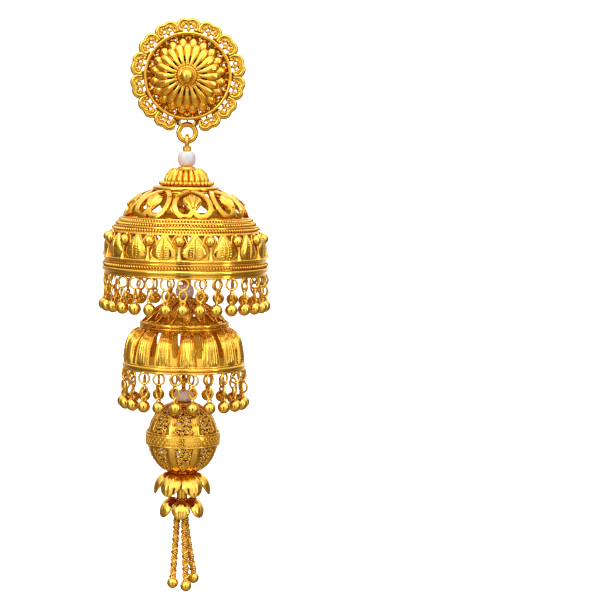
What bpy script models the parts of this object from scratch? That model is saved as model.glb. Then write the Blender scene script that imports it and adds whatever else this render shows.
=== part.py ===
"""A jhumka drop earring of yellow gold with three seed pearls.

Metres, +Z up. The origin is where the stud sits on the ear lobe: on the back plane, at the stud's centre.
The earring faces -Y. Everything below the stud hangs on one upright drop axis.
"""

import bmesh
import bpy
from math import ceil, cos, hypot, pi, radians, sin
from mathutils import Matrix, Vector
from mathutils.geometry import delaunay_2d_cdt

MM = 0.001

# Clearances and wires
GAP = 0.15 * MM
LINK_CLEARANCE = 0.12 * MM
HANGER_WIRE = 0.46 * MM
PIN_WIRE = 0.38 * MM
BORE = PIN_WIRE + GAP
WIRE_SIDES = 6
EYE_SIDES = 10
EYE_WIRE_SIDES = 5
ROD_SIDES = 8
HANGER_SIDES = 12

# Stud
STUD_RADIUS = 9.75 * MM
WIRE_RING_RADIUS = STUD_RADIUS * 0.718
WEB_RADIUS = STUD_RADIUS * 0.5
STUD_WALL = 0.5 * MM
STUD_RELIEF = 0.45 * MM
SCALLOPS = 14
FLOWER_RADIUS = STUD_RADIUS * 0.59
FLOWER_RISE = 2.1 * MM
FLOWER_WALL = 0.5 * MM
FLOWER_PETALS = 20
BOSS_RADIUS = 1.4 * MM
GRANULE_RADIUS = 0.75 * MM
BACK_PLATE_RADIUS = STUD_RADIUS * 0.575
BACK_PLATE_THICKNESS = 0.5 * MM
PLATE_SIDES = 14
POST_RADIUS = 0.4 * MM
POST_LENGTH = 10.5 * MM
HANGER_RADIUS = 1.4 * MM
HANGER_OVERLAP = 0.35 * MM
LUG_OVERLAP = 0.32 * MM

# Hinges, each below the last
BELL_TO_CUP = 22.5 * MM
CUP_TO_BALL = 17.7 * MM

# Pearls
PEARL_RADIUS = 1.55 * MM
TOP_PEARL_HEIGHT = 2.5 * MM
MIDDLE_PEARL_HEIGHT = 2.2 * MM
LOWER_PEARL_HEIGHT = 1.9 * MM
PEARL_SIDES = 12

# Bell crown and bell
CROWN_HEIGHT = 3.0 * MM
CROWN_RADIUS = 3.85 * MM
CROWN_RING = 4.65 * MM
CROWN_WALL = 0.5 * MM
FLUTES = 16
BELL_RADIUS = 13.75 * MM
BELL_HEIGHT = 14.3 * MM
BELL_WALL = 0.6 * MM
HEARTS = 8
LEAF_RELIEF = 0.3 * MM
BEAD_RADIUS = 0.88 * MM
BELL_PHASE = 9.5

# Middle dome
CUP_RADIUS = 10.15 * MM
CUP_HEIGHT = 11.35 * MM
CUP_WALL = 0.55 * MM
PANELS = 15
PANEL_RELIEF = 0.35 * MM
CUP_PHASE = 6.0

# Fringes
LOOP_WIRE = 0.3 * MM
DROP_RADIUS = 1.06 * MM
STEM_RADIUS = 0.34 * MM
BELL_DROP_COUNT = 30
BELL_DROP_FALL = 4.8 * MM
BELL_DROP_PHASE = 1.3
CUP_DROP_COUNT = 22
CUP_DROP_FALL = 5.3 * MM
CUP_DROP_PHASE = -4.8
DROP_SIDES = 10

# Filigree ball, petal whorls and chains
BALL_RADIUS = 5.95 * MM
BALL_WALL = 0.55 * MM
BALL_MOUTH = 1.0 * MM
BALL_FULLNESS = 0.8
BAND_RELIEF = 0.4 * MM
STRIP_RELIEF = 0.15 * MM
STRIPS = 8
BALL_PHASE = 4.5
WHORL_PETALS = 6
WHORL_WALL = 0.4 * MM
UPPER_WHORL_RADIUS = 4.7 * MM
UPPER_WHORL_FALL = 3.7 * MM
LOWER_WHORL_RADIUS = 3.8 * MM
LOWER_WHORL_FALL = 2.9 * MM
WHORL_SPACING = 4.5 * MM
COLLAR_HEIGHT = 0.4 * MM
COLLAR_RADIUS = 1.15 * MM
CHAIN_WIDTH = 1.1 * MM
CHAIN_BALL_RADIUS = 0.97 * MM

# Places that follow from the sizes above
DROP_Y = -0.8 * MM
HANGER_Z = HANGER_OVERLAP - STUD_RADIUS
BELL_HINGE_Z = HANGER_Z - HANGER_RADIUS
CUP_HINGE_Z = BELL_HINGE_Z - BELL_TO_CUP
BALL_HINGE_Z = CUP_HINGE_Z - CUP_TO_BALL
TOP_EYE_RADIUS = HANGER_WIRE + LINK_CLEARANCE + PIN_WIRE
EYE_RADIUS = 2 * PIN_WIRE + LINK_CLEARANCE
TOP_PEARL_Z = BELL_HINGE_Z - TOP_EYE_RADIUS - PIN_WIRE - 2 * GAP
CROWN_Z = TOP_PEARL_Z - TOP_PEARL_HEIGHT - GAP
BELL_Z = CROWN_Z - CROWN_HEIGHT - GAP
BELL_FOOT_Z = BELL_Z - BELL_HEIGHT
MIDDLE_PEARL_Z = CUP_HINGE_Z - EYE_RADIUS - PIN_WIRE - GAP
CUP_Z = MIDDLE_PEARL_Z - MIDDLE_PEARL_HEIGHT - GAP
CUP_FOOT_Z = CUP_Z - CUP_HEIGHT
LOWER_PEARL_Z = BALL_HINGE_Z - EYE_RADIUS - PIN_WIRE - GAP
BALL_Z = LOWER_PEARL_Z - LOWER_PEARL_HEIGHT - GAP - BALL_RADIUS
UPPER_WHORL_Z = BALL_Z - BALL_RADIUS - GAP
LOWER_WHORL_Z = UPPER_WHORL_Z - WHORL_SPACING
CAP_Z = LOWER_WHORL_Z - WHORL_WALL - GAP

FRONT = -90.0
TINY = 1e-7
SMOOTH_ANGLE = 35


def clear_scene():
    for item in list(bpy.data.objects):
        bpy.data.objects.remove(item, do_unlink=True)


def material(name, colour, roughness, metallic):
    made = bpy.data.materials.new(name)
    made.use_nodes = True
    shader = made.node_tree.nodes["Principled BSDF"]
    shader.inputs["Base Color"].default_value = (*colour, 1.0)
    shader.inputs["Roughness"].default_value = roughness
    shader.inputs["Metallic"].default_value = metallic
    return made


def add_turned(bm, profile, sides, closed=False, matrix=Matrix()):
    """A body turned about Z from (radius, height) points, which run down its outer side."""
    rings = []
    for radius, height in profile:
        if radius < TINY:
            rings.append([bm.verts.new(matrix @ Vector((0, 0, height)))])
            continue
        turns = [2 * pi * k / sides for k in range(sides)]
        rings.append([bm.verts.new(matrix @ Vector((radius * cos(t), radius * sin(t), height))) for t in turns])
    pairs = list(zip(rings, rings[1:]))
    if closed:
        pairs.append((rings[-1], rings[0]))
    for upper, lower in pairs:
        for k in range(sides):
            after = (k + 1) % sides
            corners = [upper[k % len(upper)], lower[k % len(lower)]]
            if len(lower) > 1:
                corners.append(lower[after])
            if len(upper) > 1:
                corners.append(upper[after])
            bm.faces.new(corners)
    return rings


def add_collar(bm, few, many):
    """Faces from a ring of corners down to a ring of twice as many."""
    count = len(few)
    for k in range(count):
        here, after = few[k], few[(k + 1) % count]
        a, b, c = (many[(2 * k + j) % len(many)] for j in range(3))
        bm.faces.new([here, a, b])
        bm.faces.new([here, b, after])
        bm.faces.new([after, b, c])


def circle_points(radius, wire, wire_sides, height=0.0):
    """The section of a round wire, bent to a ring of this radius about Z."""
    turns = [-2 * pi * (k + 0.5) / wire_sides for k in range(wire_sides)]
    return [(radius + wire * cos(t), height + wire * sin(t)) for t in turns]


def add_wire_ring(bm, radius, wire, sides, wire_sides, matrix=Matrix()):
    add_turned(bm, circle_points(radius, wire, wire_sides), sides, True, matrix)


def ball_points(radius, rows):
    """Half a circle from the top pole to the bottom one, for turning."""
    turns = [pi * k / rows for k in range(rows + 1)]
    return [(radius * sin(t) if 0 < k < rows else 0.0, radius * cos(t)) for k, t in enumerate(turns)]


class Section:
    """The outer line of a turned wall, from the axis outwards or from the top down."""

    def __init__(self, stations):
        self.stations = stations
        self.lengths = [0.0]
        for (r0, z0), (r1, z1) in zip(stations, stations[1:]):
            self.lengths.append(self.lengths[-1] + hypot(r1 - r0, z1 - z0))

    def at(self, station, onward=None, share=0.0):
        """How far down the line a station lies, or a share of the way from it to another one."""
        here = self.lengths[station]
        return here if onward is None else here + share * (self.lengths[onward] - here)

    def place(self, length):
        """(radius, height, outward radius, outward height) at this length down the line."""
        last = len(self.lengths) - 2
        k = next((k for k in range(last) if length < self.lengths[k + 1]), last)
        (r0, z0), (r1, z1) = self.stations[k], self.stations[k + 1]
        span = self.lengths[k + 1] - self.lengths[k]
        share = (length - self.lengths[k]) / span
        slopes = []
        for j in (k - 1, k, k + 1):
            j = min(max(j, 0), last)
            long = self.lengths[j + 1] - self.lengths[j]
            (ra, za), (rb, zb) = self.stations[j], self.stations[j + 1]
            slopes.append(Vector((-(zb - za) / long, (rb - ra) / long)))
        start = slopes[0] + slopes[1]
        end = slopes[1] + slopes[2]
        outward = start.normalized().lerp(end.normalized(), share).normalized()
        return r0 + (r1 - r0) * share, z0 + (z1 - z0) * share, outward.x, outward.y


def inside(point, polygon):
    x, y = point
    within = False
    for (x0, y0), (x1, y1) in zip(polygon, polygon[1:] + polygon[:1]):
        if (y0 > y) != (y1 > y) and x < x0 + (x1 - x0) * (y - y0) / (y1 - y0):
            within = not within
    return within


def tile_triangles(lines, outline, holes, scale):
    """Triangles of one repeat of a pierced wall, as corners of (across, down, relief).

    across runs from -1 to 1 over the repeat and down is a length along the section. Lines stay as edges.
    """
    points = []
    edges = []
    for path, ring in [(line, False) for line in lines] + [(hole, True) for hole in holes + [outline]]:
        first = len(points)
        points += path
        edges += [(k, k + 1) for k in range(first, len(points) - 1)]
        if ring:
            edges.append((len(points) - 1, first))
    flat = [Vector((across * scale, -down)) for across, down, _ in points]
    corners, _, faces, origins, _, _ = delaunay_2d_cdt(flat, edges, [], 0, TINY)
    kept = []
    edge_of = [(across * scale, -down) for across, down, _ in outline]
    cuts = [[(across * scale, -down) for across, down, _ in hole] for hole in holes]
    for face in faces:
        middle = sum((corners[k] for k in face), Vector((0, 0))) / 3
        if inside(middle, edge_of) and not any(inside(middle, cut) for cut in cuts):
            kept.append([
                (corners[k].x / scale, -corners[k].y, max([points[j][2] for j in origins[k]], default=0.0))
                for k in face
            ])
    return kept


class Tile:
    """One repeat of a pierced wall. Detail lines shape the outer side alone."""

    def __init__(self, rows, holes=(), detail=(), outline=None):
        self.rows = [list(row) for row in rows]
        self.holes = [list(hole) for hole in holes]
        self.detail = [list(line) for line in detail]
        self.outline = list(outline) if outline else self.rows[0] + self.rows[-1][::-1]

    def sides(self, scale):
        return (
            tile_triangles(self.rows + self.detail, self.outline, self.holes, scale),
            tile_triangles(self.rows, self.outline, self.holes, scale),
        )


def add_pierced_wall(bm, section, tiles, wall, phase=0.0, matrix=Matrix()):
    """A wall turned about Z whose repeats are tiles. Its outer side follows the section and its relief."""
    step = 2 * pi / len(tiles)
    scale = section.place(section.lengths[-1] * 0.6)[0] * step / 2
    sides_of = {id(tile): tile.sides(scale) for tile in tiles}
    for outer in (True, False):
        made = {}
        rim = {}

        def corner(repeat, across, down, relief):
            key = (round(2 * repeat + across, 4) % (2 * len(tiles)), round(down, 8))
            if key not in made:
                turn = radians(FRONT + phase) + (repeat + across / 2) * step
                radius, height, out_r, out_z = section.place(down)
                shift = relief if outer else -wall
                radius += out_r * shift
                height += out_z * shift
                made[key] = bm.verts.new(matrix @ Vector((radius * cos(turn), radius * sin(turn), height)))
            return key

        for repeat, tile in enumerate(tiles):
            for triangle in sides_of[id(tile)][0 if outer else 1]:
                keys = [corner(repeat, *point) for point in triangle]
                for start, end in zip(keys, keys[1:] + keys[:1]):
                    if (end, start) in rim:
                        del rim[(end, start)]
                    else:
                        rim[(start, end)] = True
                bm.faces.new([made[key] for key in (keys if outer else keys[::-1])])
        if outer:
            outer_made = made
            outer_rim = rim
    for start, end in outer_rim:
        bm.faces.new([outer_made[start], made[start], made[end], outer_made[end]])


def row(section, station, reliefs):
    """A line across a tile at one station, with its reliefs at even steps."""
    last = len(reliefs) - 1
    return [(-1 + 2 * k / last, section.at(station), relief) for k, relief in enumerate(reliefs)]


def path(section, start, end, points, relief=0.0, side=1):
    """Points given as (across, share of the way between two stations)."""
    return [(side * across, section.at(start, end, share), relief) for across, share in points]


def mirrored(section, start, end, points, relief=0.0):
    """The same opening on the left and on the right of a tile."""
    return [path(section, start, end, points, relief, side) for side in (1, -1)]


def finish(name, bm, coat, parent):
    bmesh.ops.recalc_face_normals(bm, faces=bm.faces)
    mesh = bpy.data.meshes.new(name)
    bm.to_mesh(mesh)
    bm.free()
    mesh.materials.append(coat)
    mesh.shade_smooth()
    mesh.set_sharp_from_angle(angle=radians(SMOOTH_ANGLE))
    item = bpy.data.objects.new(name, mesh)
    bpy.context.scene.collection.objects.link(item)
    item.parent = parent
    item.location = -Vector(parent.location) + Vector((0, parent.location.y, 0))
    return item


def fuse(item, bm, name, parent, coat):
    """Solders the bodies in bm to the item."""
    helper = finish(name, bm, coat, parent)
    helper.hide_render = True
    helper.display_type = "WIRE"
    joint = item.modifiers.new("Solder", "BOOLEAN")
    joint.operation = "UNION"
    joint.solver = "EXACT"
    joint.object = helper


def pivot(name, place):
    empty = bpy.data.objects.new(name, None)
    bpy.context.scene.collection.objects.link(empty)
    empty.location = place
    return empty


TO_FRONT = Matrix.Rotation(radians(90), 4, "X")
EYE_ACROSS_X = Matrix.Rotation(radians(90), 4, "Y")
EYE_ACROSS_Y = Matrix.Rotation(radians(90), 4, "X")


def stud_section():
    """From the web's inner edge out to the tips of the scallops, seen from the front."""
    depth = BACK_PLATE_THICKNESS + GAP + STUD_WALL
    ring = WIRE_RING_RADIUS
    half = STUD_WALL
    stations = [(WEB_RADIUS, depth), (ring - half, depth), (ring, depth), (ring + half, depth)]
    return Section(stations + [(STUD_RADIUS, depth)])


def stud_rosette(gold, parent):
    section = stud_section()
    lobe = [(1.0, 0.22), (0.95, 0.62), (0.58, 0.94), (0.0, 1.0), (-0.58, 0.94), (-0.95, 0.62), (-1.0, 0.22)]
    hole = [(0.14, 0.14), (0.66, 0.18), (0.62, 0.58), (0.14, 0.54)]
    inner = WIRE_RING_RADIUS + STUD_WALL
    reach = (-HANGER_Z - HANGER_RADIUS + LUG_OVERLAP - inner) / (STUD_RADIUS - inner)
    bare = [(1.0, 0.22), (0.45, reach), (-0.45, reach), (-1.0, 0.22)]
    top = row(section, 0, [0, 0])
    rows = [top, row(section, 1, [0, 0, 0])]
    ring = [row(section, 2, [STUD_RELIEF] * 3), row(section, 3, [0, 0, 0])]
    crest = path(section, 3, 4, [(0.0, 0.78)], STUD_RELIEF)
    scallop = Tile(
        rows,
        mirrored(section, 3, 4, hole, STUD_RELIEF / 3),
        ring + [crest],
        top + path(section, 3, 4, lobe, STUD_RELIEF / 2),
    )
    lug = Tile(rows, (), ring, top + path(section, 3, 4, bare, 0.0))
    bm = bmesh.new()
    add_pierced_wall(bm, section, [lug] + [scallop] * (SCALLOPS - 1), STUD_WALL, 0.0, TO_FRONT)
    item = finish("stud_rosette", bm, gold, parent)
    rings = bmesh.new()
    place = Matrix.Translation((0, DROP_Y, HANGER_Z)) @ TO_FRONT
    add_wire_ring(rings, HANGER_RADIUS, HANGER_WIRE, HANGER_SIDES, WIRE_SIDES, place)
    fuse(item, rings, "hanger_ring_guide", parent, gold)


def stud_flower(gold, parent):
    base = BACK_PLATE_THICKNESS + 2 * GAP + STUD_WALL + FLOWER_WALL
    shares = (0.19, 0.42, 0.66, 0.87, 1.0)
    stations = [(FLOWER_RADIUS * s, base + FLOWER_RISE * (1 - s**2) ** 0.7) for s in shares]
    section = Section(stations)
    ridge = FLOWER_WALL * 0.7
    tip = [(1.0, 0.0), (0.6, 0.62), (0.0, 1.0), (-0.6, 0.62), (-1.0, 0.0)]
    top = row(section, 0, [0, 0])
    petal = Tile(
        [top, row(section, 2, [0, 0])],
        (),
        [row(section, 1, [0, ridge, 0]), path(section, 2, 3, [(0.0, 0.5)], ridge)],
        top + path(section, 3, 4, tip),
    )
    bm = bmesh.new()
    add_pierced_wall(bm, section, [petal] * FLOWER_PETALS, FLOWER_WALL, 0.0, TO_FRONT)
    item = finish("stud_flower", bm, gold, parent)
    peak = base + FLOWER_RISE
    boss = [(0.0, peak + 1.9 * GRANULE_RADIUS), (GRANULE_RADIUS, peak + 1.4 * GRANULE_RADIUS)]
    boss += [(GRANULE_RADIUS, peak + 0.4 * GRANULE_RADIUS), (BOSS_RADIUS, peak + 0.1 * GRANULE_RADIUS)]
    boss += [(BOSS_RADIUS, peak - FLOWER_WALL), (0.0, peak - FLOWER_WALL)]
    middle = bmesh.new()
    add_turned(middle, boss, DROP_SIDES, False, TO_FRONT)
    fuse(item, middle, "boss_guide", parent, gold)


def ear_post(gold, parent):
    plate = BACK_PLATE_THICKNESS
    tip = -POST_LENGTH
    profile = [(0.0, plate), (BACK_PLATE_RADIUS, plate), (BACK_PLATE_RADIUS, 0.0), (POST_RADIUS, 0.0)]
    profile += [(POST_RADIUS, tip + POST_RADIUS), (POST_RADIUS / 2, tip), (0.0, tip)]
    bm = bmesh.new()
    add_turned(bm, profile, PLATE_SIDES, False, TO_FRONT)
    finish("ear_post", bm, gold, parent)


def pearl(name, top, height, coat, parent):
    half = height / 2
    wide = PEARL_RADIUS
    profile = [(BORE, top), (wide * 0.70, top - half * 0.14), (wide * 0.98, top - half * 0.66)]
    profile += [(wide * 0.98, top - half * 1.34), (wide * 0.70, top - half * 1.86), (BORE, top - height)]
    bm = bmesh.new()
    add_turned(bm, profile, PEARL_SIDES, True)
    finish(name, bm, coat, parent)


def pin(name, rod, eyes, gold, parent):
    """A rod with its collars and its eyes, each eye as (centre height, radius, turning matrix)."""
    bm = bmesh.new()
    add_turned(bm, rod, ROD_SIDES)
    item = finish(name, bm, gold, parent)
    loops = bmesh.new()
    for height, radius, turning in eyes:
        add_wire_ring(loops, radius, PIN_WIRE, EYE_SIDES, EYE_WIRE_SIDES, Matrix.Translation((0, 0, height)) @ turning)
    fuse(item, loops, name + "_guide", parent, gold)


def plain_rod(top, foot, collars):
    """A rod profile with a collar hung under each of the given heights."""
    rod = [(0.0, top), (PIN_WIRE, top)]
    for height, radius, thickness in collars:
        rod += [(PIN_WIRE, height), (radius, height), (radius, height - thickness), (PIN_WIRE, height - thickness)]
    return rod + [(PIN_WIRE, foot), (0.0, foot)]


def bell_section():
    down = BELL_HEIGHT
    wide = BELL_RADIUS - LOOP_WIRE
    shares = [
        # radius share, height share
        (0.345, 0.000),
        (0.378, 0.020),
        (0.402, 0.045),
        (0.573, 0.100),
        (0.684, 0.185),
        (0.744, 0.265),
        (0.766, 0.350),
        (0.800, 0.385),
        (0.820, 0.410),
        (0.868, 0.460),
        (0.912, 0.515),
        (0.935, 0.560),
        (0.980, 0.670),
        (0.998, 0.820),
        (1.000, 0.870),
        (1.000, 0.905),
        (1.000, 0.965),
        (1.000, 1.000),
    ]
    return Section([(BORE, BELL_Z)] + [(wide * r, BELL_Z - down * z) for r, z in shares])


def bell_dome(gold, parent):
    section = bell_section()
    ring = LOOP_WIRE
    heart = [(0.10, 0.80), (0.42, 0.89), (0.69, 0.76), (0.73, 0.54), (0.50, 0.30), (0.0, 0.14)]
    palmette = [(-0.30, 0.58), (-0.22, 0.40), (0.0, 0.32), (0.22, 0.40), (0.30, 0.58)]
    opening = path(section, 3, 7, heart) + path(section, 3, 7, heart[-2::-1], side=-1) + path(section, 3, 7, palmette)
    above = [(1.0, 0.08), (0.56, 0.08), (0.80, 0.26), (1.0, 0.36)]
    below = [(1.0, 0.80), (0.86, 0.84), (0.64, 0.96), (1.0, 0.96)]
    beside = [(0.10, 0.07), (0.44, 0.07), (0.45, 0.84), (0.40, 0.66), (0.29, 0.40)]
    leaves = []
    for shift in (-1, 0):
        for side in (1, -1):
            points = [(side * across + (0 if side == 1 else 1) + shift, share) for across, share in beside]
            leaves.append(path(section, 11, 14, points, LEAF_RELIEF / 2))
    leaves = [hole for hole in leaves if all(-1 <= across <= 1 for across, _, _ in hole)]
    holes = [opening] + mirrored(section, 3, 7, above) + mirrored(section, 3, 7, below) + leaves
    spines = [path(section, 11, 14, [(across, 0.30), (across, 0.72)], LEAF_RELIEF) for across in (-1, 0, 1)]
    rows = [row(section, 0, [0, 0]), row(section, 1, [0] * 3)]
    rows += [row(section, 7, [0] * 5), row(section, 18, [0] * 5)]
    detail = [row(section, 2, [ring] * 5), row(section, 8, [ring] * 5)]
    detail += [row(section, 9, [0] * 5), row(section, 10, [ring] * 5), row(section, 11, [0] * 5)]
    detail += [row(section, 15, [ring] * 5), row(section, 16, [0] * 5), row(section, 17, [ring] * 5)]
    bm = bmesh.new()
    add_pierced_wall(bm, section, [Tile(rows, holes, detail + spines)] * HEARTS, BELL_WALL, BELL_PHASE)
    item = finish("bell_dome", bm, gold, parent)
    beads = bmesh.new()
    radius, height, _, _ = section.place(section.at(11, 14, 0.30))
    for k in range(2 * HEARTS):
        turn = radians(FRONT + BELL_PHASE) + (k + 0.5) * pi / HEARTS
        centre = Matrix.Rotation(turn, 4, "Z") @ Matrix.Translation((radius - BELL_WALL, 0, height))
        add_turned(beads, ball_points(BEAD_RADIUS, 3), DROP_SIDES, False, centre)
    fuse(item, beads, "bead_guide", parent, gold)


def bell_crown(gold, parent):
    foot = CROWN_Z - CROWN_HEIGHT
    disc = 2 * GAP
    stations = [(BORE, CROWN_Z), (PEARL_RADIUS, CROWN_Z), (PEARL_RADIUS, CROWN_Z - disc)]
    stations += [(PEARL_RADIUS * 1.1, CROWN_Z - disc * 1.3), (CROWN_RADIUS * 0.86, CROWN_Z - CROWN_HEIGHT * 0.40)]
    stations += [(CROWN_RADIUS, CROWN_Z - CROWN_HEIGHT * 0.80), (CROWN_RING, foot + CROWN_HEIGHT * 0.1)]
    stations += [(CROWN_RING, foot)]
    section = Section(stations)
    ridge = CROWN_WALL * 0.6
    rows = [row(section, 0, [0, 0]), row(section, 1, [0, 0]), row(section, 5, [0, ridge, 0]), row(section, 7, [0, 0])]
    detail = [row(section, 2, [0, 0]), row(section, 3, [0, ridge, 0]), row(section, 4, [0, ridge, 0])]
    detail += [row(section, 6, [0, 0])]
    bm = bmesh.new()
    add_pierced_wall(bm, section, [Tile(rows, (), detail)] * FLUTES, CROWN_WALL)
    finish("bell_crown", bm, gold, parent)


def cup_section():
    wide = CUP_RADIUS - LOOP_WIRE
    shares = [
        # radius share, height share
        (0.160, 0.010),
        (0.470, 0.145),
        (0.695, 0.340),
        (0.725, 0.378),
        (0.742, 0.415),
        (0.870, 0.500),
        (0.950, 0.605),
        (0.990, 0.780),
        (1.000, 0.930),
        (1.000, 0.965),
        (1.000, 1.000),
    ]
    return Section([(BORE, CUP_Z)] + [(wide * r, CUP_Z - CUP_HEIGHT * z) for r, z in shares])


def cup_dome(gold, parent):
    section = cup_section()
    ring = LOOP_WIRE
    notch = [(1.0, 0.42), (0.42, 0.94), (1.0, 0.94)]
    slot = [(1.0, 0.06), (0.74, 0.12), (0.74, 0.50), (0.72, 0.82), (0.86, 0.95), (1.0, 0.95)]
    holes = mirrored(section, 1, 3, notch) + mirrored(section, 5, 9, slot, PANEL_RELIEF / 3)
    panel = [
        path(section, 5, 9, [(side * 0.34, 0.16), (side * 0.38, 0.86)], PANEL_RELIEF) for side in (1, -1)
    ]
    rows = [row(section, 0, [0, 0]), row(section, 1, [0, 0]), row(section, 4, [ring] * 3), row(section, 11, [0] * 3)]
    detail = [row(section, 3, [0] * 3), row(section, 5, [0] * 3), row(section, 9, [0] * 3)]
    detail += [row(section, 10, [ring] * 3)]
    bm = bmesh.new()
    add_pierced_wall(bm, section, [Tile(rows, holes, detail + panel)] * PANELS, CUP_WALL, CUP_PHASE)
    finish("cup_dome", bm, gold, parent)


def fringe(name, ring_radius, top, fall, count, phase, gold, parent):
    """A ring of loop wire under a rim, with a granule drop on each loop's place."""
    centre = top - LOOP_WIRE
    bm = bmesh.new()
    section = [(ring_radius + r, centre + z) for r, z in circle_points(0.0, LOOP_WIRE * 2**0.5, 4)]
    turned_by = Matrix.Rotation(radians(FRONT + phase + 180 / count), 4, "Z")
    add_turned(bm, section, count, True, turned_by)
    item = finish(name, bm, gold, parent)
    drops = bmesh.new()
    wide = DROP_RADIUS * cos(radians(30))
    for k in range(count):
        turn = radians(FRONT + phase + 360 * k / count)
        reach = ring_radius * cos(pi / count)
        place = Matrix.Rotation(turn, 4, "Z") @ Matrix.Translation((reach, 0, centre - fall))
        granule = [(wide, DROP_RADIUS / 2), (wide, -DROP_RADIUS / 2), (0.0, -DROP_RADIUS)]
        lower = add_turned(drops, granule, DROP_SIDES, False, place)
        stem = [(0.0, fall), (STEM_RADIUS, fall), (STEM_RADIUS, DROP_RADIUS * 0.9)]
        upper = add_turned(drops, stem, DROP_SIDES // 2, False, place)
        add_collar(drops, upper[-1], lower[0])
    fuse(item, drops, name + "_guide", parent, gold)


def filigree_ball(gold, parent):
    tilt = (BALL_MOUTH / BALL_RADIUS) ** (1 / BALL_FULLNESS)
    turns = [tilt] + [radians(a) for a in (32, 57, 81, 99, 123, 148)] + [pi - tilt]
    section = Section([(BALL_RADIUS * sin(t) ** BALL_FULLNESS, BALL_Z + BALL_RADIUS * cos(t)) for t in turns])
    edge = 0.745
    opening = [(0.0, 0.10), (0.34, 0.40), (0.30, 0.80), (-0.30, 0.80), (-0.34, 0.40)]
    holes = [path(section, 1, 3, opening), path(section, 4, 6, [(a, 1 - s) for a, s in opening[::-1]])]

    def line(station, relief, side_relief):
        down = section.at(station)
        return [(-1, down, side_relief), (-edge, down, relief), (edge, down, relief), (1, down, side_relief)]

    rows = [row(section, 0, [0, 0]), line(1, 0, STRIP_RELIEF), line(6, 0, STRIP_RELIEF), row(section, 7, [0, 0])]
    crossing = [line(station, 0, STRIP_RELIEF) for station in (2, 5)]
    detail = [half for whole in crossing for half in (whole[:2], whole[2:])]
    detail += [line(3, BAND_RELIEF, BAND_RELIEF), line(4, BAND_RELIEF, BAND_RELIEF)]
    bm = bmesh.new()
    add_pierced_wall(bm, section, [Tile(rows, holes, detail)] * STRIPS, BALL_WALL, BALL_PHASE)
    finish("filigree_ball", bm, gold, parent)


def petal_whorl(name, top, radius, fall, phase, gold, parent):
    shares = [(0.26, 0.0), (0.42, 0.10), (0.62, 0.34), (0.82, 0.66), (1.0, 1.0)]
    section = Section([(BORE, top)] + [(radius * r, top - fall * z) for r, z in shares])
    edge = [(1.0, 0.0), (0.90, 0.22), (0.92, 0.52), (0.62, 0.80), (0.0, 1.0)]
    top_row = row(section, 0, [0, 0])
    outline = top_row + path(section, 1, 5, edge) + path(section, 1, 5, edge[-2::-1], side=-1)
    rib = path(section, 1, 5, [(0.0, 0.28), (0.0, 0.66)], WHORL_WALL * 0.7)
    petal = Tile([top_row], (), [rib], outline)
    bm = bmesh.new()
    add_pierced_wall(bm, section, [petal] * WHORL_PETALS, WHORL_WALL, phase)
    finish(name, bm, gold, parent)


# The chains' chosen points: name, top (x, y) and end (x, y, fall), in millimetres from the cap
CHAINS = [
    ("left", (-0.75, -0.27), (-1.35, -0.60, 11.9)),
    ("middle", (0.40, -0.69), (0.90, -1.15, 12.3)),
    ("right", (0.40, 0.69), (2.05, 1.00, 11.3)),
]


def chain(name, top, end, gold, parent):
    """A hanging chain as a plain tube, and the ball at its end."""
    start_z = CAP_Z - COLLAR_HEIGHT - GAP
    start = Vector((top[0] * MM, top[1] * MM, start_z))
    stop = Vector((end[0] * MM, end[1] * MM, start_z - end[2] * MM))
    count = max(3, ceil((start - stop).length / (2.5 * CHAIN_WIDTH)))
    curve = bpy.data.curves.new("chain_" + name, "CURVE")
    curve.dimensions = "3D"
    curve.bevel_depth = CHAIN_WIDTH / 2
    curve.bevel_resolution = 2
    curve.use_fill_caps = True
    spline = curve.splines.new("POLY")
    spline.points.add(count)
    for k in range(count + 1):
        share = k / count
        spread = share**1.4
        here = Vector((start.x + (stop.x - start.x) * spread, start.y + (stop.y - start.y) * spread, 0))
        here.z = start.z + (stop.z - start.z) * share
        spline.points[k].co = (*here, 1.0)
    curve.materials.append(gold)
    item = bpy.data.objects.new("chain_" + name, curve)
    bpy.context.scene.collection.objects.link(item)
    item.parent = parent
    item.location = (0, 0, -parent.location.z)
    bm = bmesh.new()
    place = Matrix.Translation(stop - Vector((0, 0, GAP + CHAIN_BALL_RADIUS)))
    add_turned(bm, ball_points(CHAIN_BALL_RADIUS, 4), DROP_SIDES, False, place)
    finish("chain_ball_" + name, bm, gold, parent)


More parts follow.
